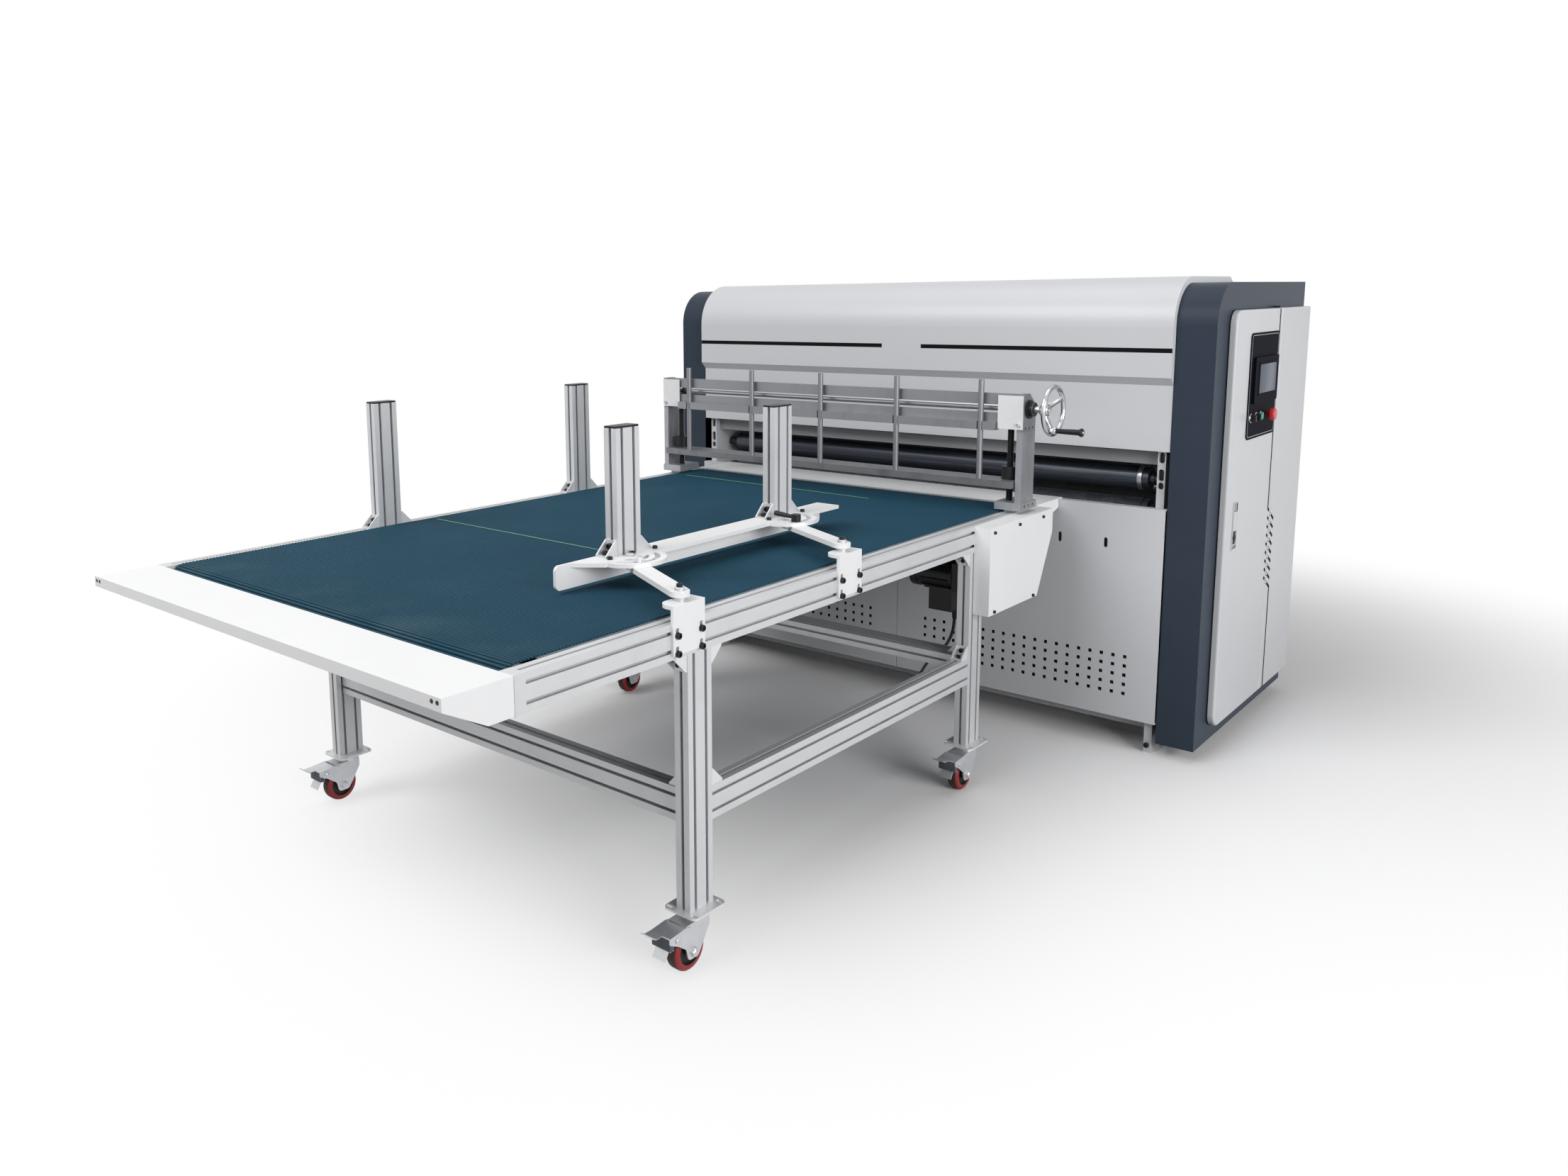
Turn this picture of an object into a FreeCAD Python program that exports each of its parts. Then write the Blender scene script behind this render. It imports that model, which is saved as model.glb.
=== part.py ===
import FreeCAD, Part
import math
import os

# Die cutting machine: a roller press fed by a wheeled belt table.
# Millimetres, +Z up. While it is drawn, X = 0 is the table's centre line, Y = 0 the front ends
# of the table rails and Z = 0 the floor; save() moves everything to the bottom centre of the whole.

V = FreeCAD.Vector
AX = V(1, 0, 0)
AY = V(0, 1, 0)
AZ = V(0, 0, 1)
SIDES = (-1, 1)

GAP = 0.3                    # between pieces that move past each other
FIT = 0.05                   # radial running fit of a shaft in its bore
SHEET = 3.0                  # wall of every bent sheet cover

# Table frame of slotted profile
MODULE = 40.0                # profile module; a profile is one by two modules
RAIL_X = 714.0               # outer face of a side rail
RAIL_TOP = 815.0
TABLE_LEN = 2190.0
LEG_FRONT_Y = 461.0
LEG_REAR_Y = TABLE_LEN - 447.0
STRETCHER_TOP = 414.0
CASTER_H = 140.0
RAIL_IN = RAIL_X - MODULE
RAIL_LOW = RAIL_TOP - 2 * MODULE
LEG_X = RAIL_X - MODULE / 2
LEGS_Y = (LEG_FRONT_Y, LEG_REAR_Y)

# Conveyor belt
BELT_HALF = RAIL_IN - 10.0
BELT_T = 4.0
DRUM_R = 38.0                # inside radius of the belt loop over a roller
DRUM_SHAFT_R = 10.0
TAIL_SEAT = 26.0             # depth of the tail roller's axle in a rail
TAIL_Y = 22.0
DRIVE_Y = TABLE_LEN - 50.0
DRUM_Z = RAIL_TOP - DRUM_R
BELT_TOP = RAIL_TOP + BELT_T
NOSE_LEN = 164.0             # sheet cover in front of the belt
PLATE_T = 28.0               # rail end plate
MOTOR_Y = TABLE_LEN - 300.0
MOTOR_Z = RAIL_LOW - 110.0
COVER_X = RAIL_X + 52.0      # outer face of the belt drive cover

# Belt motor's cable, as steps from its exit under the terminal box, drawn for CABLE_DROP
CABLE_R = 5.0
CABLE_X = RAIL_X - 123.0
CABLE_TOP = MOTOR_Z - 113.0
CABLE_LOW = 82.0
CABLE_DROP = 430.0
CABLE = [(0, 0, 0), (-2, 2, -54), (-39, 44, -116), (-103, 118, -176), (-173, 196, -228),
         (-247, 282, -290), (-313, 366, -354), (-369, 446, -404), (-391, 514, -428), (-395, 560, -430)]

# Casters, drawn about their swivel axis
WHEEL_R = 50.0
WHEEL_W = 34.0
TRAIL = 36.0
AXLE_R = 5.0
KING_R = 6.0
PEDAL_PIN = (-94.0, CASTER_H - 38.0)
PEDAL_PIN_R = 4.0
FORK_T = 4.0                 # wall of the fork's cheeks
FORK_IN = WHEEL_W / 2 + 5.0
FORK_TOP = CASTER_H - 21.0
PEDAL_T = 3.0

# Height gate
GATE_Y = TABLE_LEN - 134.0   # plane of the screws and the cross shaft
SCREW_X = RAIL_X - 34.0
SCREW_R = 10.5
COLUMN_X = RAIL_X + 2.0      # inner face of a column
COLUMN_T = 20.0
BASE_LOW = RAIL_TOP + 9.0
BASE_TOP = BASE_LOW + 24.0
GATE_TOP = BASE_TOP + 338.0
SHAFT_Z = GATE_TOP - 48.0
SHAFT_R = 10.0
SHELF_LOW = GATE_TOP - 114.0
SHELF_TOP = GATE_TOP - 88.0
BAR_LOW = BASE_TOP + 46.0
BAR_T = 22.0
ROD_R = 9.0
ROD_Y = GATE_Y - 48.0
ROD_TOP = GATE_TOP + 42.0
ROD_PITCH = 300.0
NUT_H = 41.0
WHEEL_X = COLUMN_X + 97.0    # middle plane of the handwheel rim
RIM_R = 72.0
CRANK_R = 62.0
CRANK_PIN_R = 4.0
SPOKES = 3

# Side guides
POSTS_Z = RAIL_TOP + 377.0
LEFT_POSTS_Y = (642.0, 1464.0)
GUIDE_FRONT = 411.0
GUIDE_END = 1480.0
GUIDE_POSTS_DY = 20.0        # start of a post ahead of its half disc's centre
ARM_T = 12.0
ARM_LOW = RAIL_TOP + 49.0
PIVOT_X = LEG_X
PIVOTS_Y = (460.0, 1085.0)
ARM_DX = -279.0
ARM_DY = 142.0
GUIDE_X = PIVOT_X + ARM_DX - 65.0    # face of the guide bar
PIN_R = 6.0
DISC_R = 88.0
SLOT_R = 66.0
FLANGE_T = 9.7
FLANGE_LOW = ARM_LOW + ARM_T + GAP
FLANGE_TOP = FLANGE_LOW + FLANGE_T

# Press body
BODY_X = 115.0               # centre plane of the body
BODY_HALF = 1057.5           # to the outer face of an end cover
COVER_W = 117.0
BODY_FRONT = TABLE_LEN + 184.0
BODY_DEPTH = 956.0
BODY_BACK = BODY_FRONT + BODY_DEPTH
BODY_TOP = 1516.0
BODY_LOW = 45.0
COVER_IN = BODY_X + BODY_HALF - COVER_W
PANEL_LEFT = BODY_X - BODY_HALF + COVER_W + 2
PANEL_RIGHT = COVER_IN - 2
FRAME_HALF = BODY_HALF - COVER_W - 43.0    # to the inner face of a side plate
FRAME_T = 25.0
FRAME_OUT = FRAME_HALF + FRAME_T
FRAME_FRONT = BODY_FRONT + 20.0
FRAME_BACK = BODY_BACK - 18.0
FOOT_L = 80.0
FOOT_H = 60.0
TIE = 80.0                   # square beams between the side plates
TIE_LOW = FOOT_H + 2.0
HOOD_FRONT = BODY_FRONT - 22.0
HOOD_BACK = HOOD_FRONT + 560.0
HOOD_LOW = BODY_TOP - 315.0
HOOD_TOP = BODY_TOP + 20.0
HOOD_R = 155.0
UPPER_FRONT = BODY_FRONT + 2.0
LOWER_FRONT = BODY_FRONT - 10.0
LOWER_LOW = BODY_LOW + 64.0
LOWER_TOP = RAIL_TOP - SHEET
SPLIT_X = BODY_X - 7.0       # joint between the two lower front panels
HOLE = 12.0                  # square perforation
HOLE_COLUMNS = 20
HOLE_ROWS = 5
SLOT_W = 12.0                # hand slots of the lower panels, round at both ends

# Rollers; boards pass between NIP_LOW and NIP_TOP
NIP_LOW = RAIL_TOP + 7.0
NIP_TOP = NIP_LOW + 26.0
UPPER_LOW = NIP_TOP + 146.0
FEED_Y = BODY_FRONT + 126.0
FEED_R = 40.0
FEED_SHAFT_R = 15.0
FEED_HALF = FRAME_HALF - 72.5
PRESS_Y = BODY_FRONT + 386.0
PRESS_R = 100.0
PRESS_SHAFT_R = 30.0
PRESS_HALF = FRAME_HALF - 47.5
GEAR_W = 38.0
BEARING_W = 18.0
FEED_HIGH_Z = NIP_TOP + FEED_R
FEED_LOW_Z = NIP_LOW - FEED_R
PRESS_HIGH_Z = NIP_TOP + PRESS_R
PRESS_LOW_Z = NIP_LOW - PRESS_R
AXES = ((FEED_Y, FEED_HIGH_Z, FEED_SHAFT_R), (FEED_Y, FEED_LOW_Z, FEED_SHAFT_R),
        (PRESS_Y, PRESS_HIGH_Z, PRESS_SHAFT_R), (PRESS_Y, PRESS_LOW_Z, PRESS_SHAFT_R))

# Cabinet door and controls on the right end cover
DOOR_T = 25.0
DOOR_X = BODY_X + BODY_HALF
DOOR_FACE = DOOR_X + DOOR_T
DOOR_FRONT = BODY_FRONT + 111.0
DOOR_BACK = DOOR_FRONT + 487.0
DOOR_LOW = BODY_LOW + 50.0
DOOR_TOP = BODY_TOP - 86.0
DOOR_R = 45.0
HINGE_X = DOOR_X + GAP + DOOR_T / 2
HINGE_Y = DOOR_BACK - DOOR_T / 2
HINGE_R = 4.0
PLATE_FRONT = DOOR_FRONT + 143.0
PLATE_BACK = PLATE_FRONT + 306.0
PLATE_TOP = DOOR_TOP - 74.0
PLATE_LOW = PLATE_TOP - 340.0
PLATE_FACE = DOOR_FACE + GAP + SHEET
BUTTON_Z = PLATE_LOW + 70.0
SELECTORS_Y = (PLATE_FRONT + 24.0, PLATE_FRONT + 76.0)
START_Y = PLATE_FRONT + 128.0
STOP_Y = PLATE_FRONT + 204.0
STOP_OUT = 30.0              # projection of the emergency stop from the control plate
LATCH_Y = DOOR_FRONT + 85.0
LATCH_HALF = 18.0
LATCH_LOW = 674.0
LATCH_TOP = LATCH_LOW + 149.0
LATCH_T = 15.0
LATCH_X = DOOR_FACE + 3.0 - LATCH_T / 2    # axis of the paddle's pin
LATCH_Z = LATCH_LOW + 14.0
LATCH_PIN_R = 2.5

LEFT_END = BODY_X - BODY_HALF - DOOR_T
RIGHT_END = DOOR_FACE + SHEET + STOP_OUT
FRONT_END = -PLATE_T - NOSE_LEN
ORIGIN = V((LEFT_END + RIGHT_END) / 2, (FRONT_END + BODY_BACK) / 2, 0)


def save(name, *shapes):
    """Write one node, made of one or more separate solids, to its own file."""
    shape = shapes[0] if len(shapes) == 1 else Part.makeCompound(list(shapes))
    shape = shape.copy()
    shape.translate(ORIGIN * -1)
    shape.exportStep("parts/" + name + ".step")


def box(x0, y0, z0, x1, y1, z1):
    return Part.makeBox(x1 - x0, y1 - y0, z1 - z0, V(x0, y0, z0))


def rod(x, y, z, r, length, axis):
    return Part.makeCylinder(r, length, V(x, y, z), axis)


def ring(x, y, z, r, bore, length, axis):
    return rod(x, y, z, r, length, axis).cut(rod(x, y, z, bore, length, axis))


def mirrored(shape, x=0.0):
    return shape.mirror(V(x, 0, 0), AX)


def arc_path(points, radii, closed=False):
    """Straight runs joined by tangent arcs, one radius per corner (0 keeps it sharp)."""
    count = len(points)
    corners = []
    for i, p in enumerate(points):
        end = not closed and i in (0, count - 1)
        if end or radii[i] <= 0:
            corners.append((p, None, p))
            continue
        a = (points[i - 1] - p).normalize()
        b = (points[(i + 1) % count] - p).normalize()
        half = a.getAngle(b) / 2
        back = radii[i] / math.tan(half)
        deep = radii[i] / math.sin(half) - radii[i]
        mid = (a + b).normalize()
        corners.append((p + a * back, p + mid * deep, p + b * back))
    edges = []
    for i, (enter, middle, leave) in enumerate(corners):
        if middle:
            edges.append(Part.Arc(enter, middle, leave).toShape())
        if i == count - 1 and not closed:
            break
        follow = corners[(i + 1) % count][0]
        if leave.distanceToPoint(follow) > 1e-6:
            edges.append(Part.makeLine(leave, follow))
    return Part.Wire(edges)


def slab(profile, x0, x1, radii=None):
    """Solid of a closed (y, z) outline between two X planes."""
    points = [V(x0, y, z) for y, z in profile]
    wire = arc_path(points, radii or [0] * len(points), True)
    return Part.Face(wire).extrude(V(x1 - x0, 0, 0))


def plan(outline, z0, z1, radii=None):
    """Solid of a closed (x, y) outline between two heights."""
    points = [V(x, y, z0) for x, y in outline]
    wire = arc_path(points, radii or [0] * len(points), True)
    return Part.Face(wire).extrude(V(0, 0, z1 - z0))


def shell(profile, x0, x1, radii, open_x):
    """Sheet tray of a closed (y, z) outline, open at the X plane open_x."""
    outer = slab(profile, x0, x1, radii)
    points = [V(x0, y, z) for y, z in profile]
    inner = Part.Face(arc_path(points, radii, True)).makeOffset2D(-SHEET, 2)
    cavity = Part.Face(inner.Wires[0]).extrude(V(x1 - x0, 0, 0))
    cavity.translate(V(-SHEET if open_x == x0 else SHEET, 0, 0))
    return outer.cut(cavity)


def beam(lo, hi):
    """Slotted profile filling the box from lo to hi, slots along its longest side."""
    size = hi - lo
    along = max(range(3), key=lambda i: size[i])
    cross = [i for i in range(3) if i != along]
    cuts = []
    for across, into in (cross, cross[::-1]):
        for lane in range(round(size[across] / MODULE)):
            middle = lo[across] + MODULE * (lane + 0.5)
            for half, near, far in ((4.1, -1.0, 5.0), (9.0, 4.5, 11.0)):
                for flip in (False, True):
                    start = V(lo)
                    stop = V(hi)
                    start[across] = middle - half
                    stop[across] = middle + half
                    start[into] = hi[into] - far if flip else lo[into] + near
                    stop[into] = hi[into] - near if flip else lo[into] + far
                    cuts.append(Part.makeBox(*(stop - start), start))
    return Part.makeBox(*size, lo).cut(cuts)


def corner_bracket(x, y, z, turn, up=1):
    """Cast bracket in the corner of a wall at its back and a floor (up=1) or ceiling (up=-1)."""
    reach = 38.0
    half = 18.0
    wall = 5.0
    cheek = [(0, 0), (reach, 0), (reach, wall), (wall, reach), (0, reach)]
    body = box(-half, 0, 0, half, reach, wall).fuse(box(-half, 0, 0, half, wall, reach))
    for edge in (-half, half - 4):
        body = body.fuse(slab(cheek, edge, edge + 4))
    body = body.removeSplitter()
    if up < 0:
        body = body.mirror(V(0, 0, 0), AZ)
    body.rotate(V(0, 0, 0), AZ, turn)
    body.translate(V(x, y, z))
    return body


def gear(x, y, z, pitch_r, teeth, width, shift):
    """Spur gear on an axis along X; shift is its turn in tooth pitches."""
    module = 2 * pitch_r / teeth
    quarter = math.pi * module / 4 * 0.86
    lean = math.tan(math.radians(20)) * module
    root = pitch_r - 1.15 * module
    tip = pitch_r + 0.8 * module
    flank = ((root, -quarter - lean), (tip, -quarter + 0.8 * lean),
             (tip, quarter - 0.8 * lean), (root, quarter + lean))
    points = []
    for i in range(teeth):
        a = 2 * math.pi * (i + shift) / teeth
        for r, half in flank:
            points.append((y + r * math.cos(a + half / r), z + r * math.sin(a + half / r)))
    return slab(points, x, x + width)


# Table

def table_rails():
    rail = beam(V(RAIL_IN, 0, RAIL_LOW), V(RAIL_X, TABLE_LEN, RAIL_TOP))
    for y, depth in ((TAIL_Y, TAIL_SEAT + GAP), (DRIVE_Y, MODULE + 1)):
        rail = rail.cut(rod(RAIL_IN - 1, y, DRUM_Z, DRUM_SHAFT_R + FIT, depth + 1, AX))
    plate = box(RAIL_IN - 2, -PLATE_T, RAIL_LOW, RAIL_X + 2, 0, RAIL_TOP)
    save("table_rails", rail, mirrored(rail), plate, mirrored(plate))


def leg_frame():
    pieces = []
    low = STRETCHER_TOP - 2 * MODULE
    for y in LEGS_Y:
        leg = beam(V(RAIL_IN, y, CASTER_H), V(RAIL_X, y + 2 * MODULE, RAIL_LOW))
        pieces += [leg, mirrored(leg)]
    side = beam(V(RAIL_IN, LEG_FRONT_Y + 2 * MODULE, low), V(RAIL_X, LEG_REAR_Y, STRETCHER_TOP))
    pieces += [side, mirrored(side)]
    front = LEG_FRONT_Y + MODULE / 2
    pieces.append(beam(V(-RAIL_IN, front, low), V(RAIL_IN, front + MODULE, STRETCHER_TOP)))
    pieces.append(beam(V(-RAIL_IN, LEG_REAR_Y, STRETCHER_TOP - MODULE),
                       V(RAIL_IN, LEG_REAR_Y + 2 * MODULE, STRETCHER_TOP)))
    save("leg_frame", *pieces)


def frame_fittings():
    """Corner brackets of the table frame and the top plates of the casters."""
    pieces = []
    for side in SIDES:
        x = side * LEG_X
        for y in LEGS_Y:
            pieces.append(corner_bracket(x, y, RAIL_LOW, 180, -1))
            if y == LEG_FRONT_Y:
                pieces.append(corner_bracket(x, y + 2 * MODULE, RAIL_LOW, 0, -1))
            pieces.append(corner_bracket(side * RAIL_IN, y + MODULE, STRETCHER_TOP, side * 90))
            pieces.append(caster_plate().translated(V(x, y + MODULE, 0)))
        pieces.append(corner_bracket(x, LEG_FRONT_Y + 2 * MODULE, STRETCHER_TOP, 0))
        pieces.append(corner_bracket(x, LEG_REAR_Y, STRETCHER_TOP, 180))
        for y in LEFT_POSTS_Y:
            if side < 0:
                pieces.append(corner_bracket(x, y, RAIL_TOP, 180))
                pieces.append(corner_bracket(x, y + 2 * MODULE, RAIL_TOP, 0))
    save("frame_fittings", *pieces)


def front_end_cover():
    top = RAIL_TOP
    lip = 26.0
    back = -PLATE_T
    low = RAIL_LOW + 1
    side = [(back, top), (FRONT_END, top), (FRONT_END, top - lip), (back - 62, low), (back, low)]
    cover = box(-RAIL_X, FRONT_END, top - SHEET, RAIL_X, back, top)
    cover = cover.fuse(box(-RAIL_X, FRONT_END, top - lip, RAIL_X, FRONT_END + SHEET, top))
    for x in (-RAIL_X, RAIL_X - SHEET):
        cover = cover.fuse(slab(side, x, x + SHEET))
    for x in (RAIL_X - 28, RAIL_X - 12):
        for place in (-x, x):
            cover = cover.cut(rod(place, FRONT_END - 1, top - 10, 4.5, SHEET + 2, AY))
    save("front_end_cover", cover.removeSplitter())


def conveyor_belt():
    def loop(r):
        ends = rod(-BELT_HALF, TAIL_Y, DRUM_Z, r, 2 * BELT_HALF, AX)
        ends = ends.fuse(rod(-BELT_HALF, DRIVE_Y, DRUM_Z, r, 2 * BELT_HALF, AX))
        return ends.fuse(box(-BELT_HALF, TAIL_Y, DRUM_Z - r, BELT_HALF, DRIVE_Y, DRUM_Z + r))
    save("conveyor_belt", loop(DRUM_R + BELT_T).removeSplitter().cut(loop(DRUM_R).removeSplitter()))


def belt_bed():
    """Slide sheet under the belt's top run on four flat cross bars."""
    clear = DRUM_R + 12
    low = RAIL_TOP - SHEET
    half = BELT_HALF + 6
    pieces = [box(-half, TAIL_Y + clear, low, half, DRIVE_Y - clear, RAIL_TOP)]
    count = 4
    first = TAIL_Y + 160
    step = (DRIVE_Y - 160 - MODULE - first) / (count - 1)
    for i in range(count):
        y = first + i * step
        pieces.append(box(-RAIL_IN, y, low - MODULE, RAIL_IN, y + MODULE, low))
    save("belt_bed", *pieces)


def drums():
    half = BELT_HALF + 4
    seat = RAIL_IN + TAIL_SEAT
    for name, y, left, right in (("tail_roller", TAIL_Y, seat, seat),
                                 ("drive_roller", DRIVE_Y, RAIL_X - 2, COVER_X - 8)):
        drum = rod(-half, y, DRUM_Z, DRUM_R - GAP, 2 * half, AX)
        drum = drum.fuse(rod(-left, y, DRUM_Z, DRUM_SHAFT_R, left + right, AX))
        if name == "drive_roller":
            drum = drum.fuse(rod(RAIL_X + 10, y, DRUM_Z, 30, 28, AX))
        save(name, drum.removeSplitter())


def transition_plate():
    """Bridge sheet from the belt to the press, with a front flange and two side skirts."""
    half = RAIL_X - 4
    front = TABLE_LEN
    back = BODY_FRONT + 18
    tip = LOWER_FRONT - 2
    sheet = box(-half, front, RAIL_TOP - SHEET, half, back, RAIL_TOP)
    sheet = sheet.fuse(box(-half, front, RAIL_LOW, half, front + SHEET, RAIL_TOP))
    skirt = [(front, RAIL_TOP), (tip, RAIL_TOP), (tip, RAIL_TOP - 30), (front, RAIL_LOW)]
    for x in (-half, half - SHEET):
        sheet = sheet.fuse(slab(skirt, x, x + SHEET))
    save("transition_plate", sheet.removeSplitter())


def drive_cover():
    front = TABLE_LEN - 428
    knee = TABLE_LEN - 99
    top = RAIL_TOP - 2
    low = MOTOR_Z - 78
    outline = [(front, top), (front, low), (knee, low), (TABLE_LEN, RAIL_LOW + 2), (TABLE_LEN, top)]
    save("drive_cover", shell(outline, RAIL_X, COVER_X, [0] * 5, RAIL_X))


def belt_motor():
    plate_t = 6.0
    shaft_r = 9.0
    face = RAIL_X - plate_t
    plate = box(face, LEG_REAR_Y + 2 * MODULE + 3, MOTOR_Z - 65, RAIL_X, TABLE_LEN - 90, RAIL_LOW)
    box_x = face - 108
    gears = box(box_x, MOTOR_Y - 45, MOTOR_Z - 45, face, MOTOR_Y + 45, MOTOR_Z + 45)
    bore = rod(face - 12, MOTOR_Y, MOTOR_Z, shaft_r + FIT, 60, AX)
    body = rod(box_x - 126, MOTOR_Y, MOTOR_Z, 48, 126, AX)
    for i in range(12):
        fin = box(box_x - 110, -2, 44, box_x - 14, 2, 53)
        fin.rotate(V(0, 0, 0), AX, 30 * i + 15)
        body = body.fuse(fin.translated(V(0, MOTOR_Y, MOTOR_Z)))
    cowl = rod(box_x - 146, MOTOR_Y, MOTOR_Z, 50, 20, AX)
    terminal = box(box_x - 82, MOTOR_Y - 35, CABLE_TOP, box_x - 4, MOTOR_Y + 35, MOTOR_Z - 40)
    terminal = terminal.cut(body)
    save("belt_motor", plate.cut(bore), gears.cut(bore), body, cowl, terminal)
    pulley = rod(face - 10, MOTOR_Y, MOTOR_Z, shaft_r, 56, AX)
    pulley = pulley.fuse(rod(RAIL_X + 10, MOTOR_Y, MOTOR_Z, 30, 28, AX))
    save("motor_pulley", pulley.removeSplitter())


def motor_cable():
    """Belt motor's cable: straight runs and tangent arcs from its terminal box into the press."""
    exit_point = V(CABLE_X, MOTOR_Y, CABLE_TOP)
    stretch = (CABLE_TOP - CABLE_LOW) / CABLE_DROP
    points = [exit_point + V(x, y, z * stretch) for x, y, z in CABLE]
    radii = [0.0]
    for a, b, c in zip(points, points[1:], points[2:]):
        turn = (b - a).getAngle(c - b)
        radii.append(0.45 * min((b - a).Length, (c - b).Length) / math.tan(turn / 2))
    path = arc_path(points, radii + [0.0])
    start = Part.Wire(Part.makeCircle(CABLE_R, points[0], points[1] - points[0]))
    tube = path.makePipeShell([start], True, True)
    save("motor_cable", tube)
    length = path.Length
    ratio = tube.Volume / (math.pi * CABLE_R ** 2 * length)
    print("cable length", round(length), "volume ratio", round(ratio, 3))
    print("cable radii", [round(r) for r in radii[1:]])


# Casters

def caster_plate():
    """Top plate with rounded corners and slotted holes, and the boss of the swivel bearing."""
    half_x = 48.0
    half_y = 56.0
    corners = [(-half_x, -half_y), (half_x, -half_y), (half_x, half_y), (-half_x, half_y)]
    plate = plan(corners, CASTER_H - 5, CASTER_H, [14] * 4).fuse(rod(0, 0, CASTER_H - 12, 28, 8, AZ))
    for x in SIDES:
        for y in SIDES:
            slot = box(x * 36 - 5, y * 45 - 4.5, CASTER_H - 6, x * 36 + 5, y * 45 + 4.5, CASTER_H + 1)
            for dx in (-5, 5):
                slot = slot.fuse(rod(x * 36 + dx, y * 45, CASTER_H - 6, 4.5, 7, AZ))
            plate = plate.cut(slot)
    return plate.cut(rod(0, 0, 0, KING_R + FIT, CASTER_H + 1, AZ)).removeSplitter()


def caster_fork():
    """Swivel head with two cheeks that carry the axle, and the pin of the brake pedal."""
    head = CASTER_H - 12 - GAP
    out = FORK_IN + FORK_T
    py, pz = PEDAL_PIN
    bridge = -TRAIL - 26
    fork = rod(0, 0, head - 10, 30, 10, AZ).fuse(rod(0, 0, head - 2, KING_R, 13, AZ))
    fork = fork.fuse(box(-out, bridge, FORK_TOP - 5, out, 20, FORK_TOP))
    low = WHEEL_R - 16
    cheek = [(20, FORK_TOP), (bridge, FORK_TOP), (bridge, pz + 6), (py - 8, pz + 6), (py - 8, pz - 8),
             (-TRAIL - 25, WHEEL_R + 14), (-TRAIL - 18, low), (-TRAIL + 16, low),
             (-TRAIL + 34, WHEEL_R + 10), (20, pz - 6)]
    for x in (-out, FORK_IN):
        fork = fork.fuse(slab(cheek, x, x + FORK_T, [3, 0, 2, 6, 6, 12, 12, 12, 12, 8]))
    fork = fork.fuse(rod(-out - 8, -TRAIL, WHEEL_R, AXLE_R, 2 * (out + 8), AX))
    for x in (-out - 7, out):
        fork = fork.fuse(rod(x, -TRAIL, WHEEL_R, 9, 7, AX))
    pin = out + GAP + PEDAL_T + 2
    return fork.fuse(rod(-pin, py, pz, PEDAL_PIN_R, 2 * pin, AX)).removeSplitter()


def caster_wheel():
    core_r = 36.0
    bore = AXLE_R + FIT
    hub = WHEEL_W / 2 + 4
    core = ring(-hub, -TRAIL, WHEEL_R, 14, bore, 2 * hub, AX)
    core = core.fuse(ring(-WHEEL_W / 2, -TRAIL, WHEEL_R, core_r, bore, WHEEL_W, AX)).removeSplitter()
    tyre = rod(-WHEEL_W / 2, -TRAIL, WHEEL_R, WHEEL_R, WHEEL_W, AX)
    tyre = tyre.makeFillet(5, [e for e in tyre.Edges if e.Closed and e.BoundBox.XLength < 1])
    return Part.makeCompound([core, tyre.cut(rod(-WHEEL_W, -TRAIL, WHEEL_R, core_r, 2 * WHEEL_W, AX))])


def caster_pedal():
    """Folded hood over the cheeks, with a turned-up tongue, the brake's block and its release tab."""
    py, pz = PEDAL_PIN
    inner = FORK_IN + FORK_T + GAP
    out = inner + PEDAL_T
    front = py - 24
    top = [(py + 26, FORK_TOP), (front, FORK_TOP - 4), (front, FORK_TOP - 4 - PEDAL_T),
           (py + 26, FORK_TOP - PEDAL_T)]
    pedal = slab(top, -out, out)
    wing = [(front, FORK_TOP - 4), (py + 26, FORK_TOP), (py + 52, pz + 10), (py + 39, pz - 32),
            (py - 8, pz - 10), (front, pz - 2)]
    for x in (-out, inner):
        pedal = pedal.fuse(slab(wing, x, x + PEDAL_T, [0, 0, 8, 8, 6, 4]))
    tongue = [(front + 2, FORK_TOP - 4), (front + 2, FORK_TOP - 4 - PEDAL_T), (front - 20, FORK_TOP - 6),
              (front - 34, FORK_TOP + 3), (front - 32.5, FORK_TOP + 5.5), (front - 19, FORK_TOP - 3)]
    pedal = pedal.fuse(slab(tongue, -out, 6))
    pedal = pedal.fuse(box(-inner - 1, front + 2, pz - 20, inner + 1, py - 10, FORK_TOP - 6))
    tab = [(py - 12, pz - 19), (py - 15, pz - 19), (py - 30, pz - 43), (py - 27, pz - 44)]
    pedal = pedal.fuse(slab(tab, -20, 17))
    return pedal.cut(rod(-out - 1, py, pz, PEDAL_PIN_R + FIT, 2 * out + 2, AX)).removeSplitter()


def casters():
    places = {"front_right": (1, 0), "front_left": (-1, 0), "rear_right": (1, 1), "rear_left": (-1, 1)}
    for name, (side, row) in places.items():
        spot = V(side * LEG_X, LEGS_Y[row] + MODULE, 0)
        save("caster_fork_" + name, caster_fork().translated(spot))
        save("caster_wheel_" + name, caster_wheel().translated(spot))
        save("caster_pedal_" + name, caster_pedal().translated(spot))


# Height gate

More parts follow.
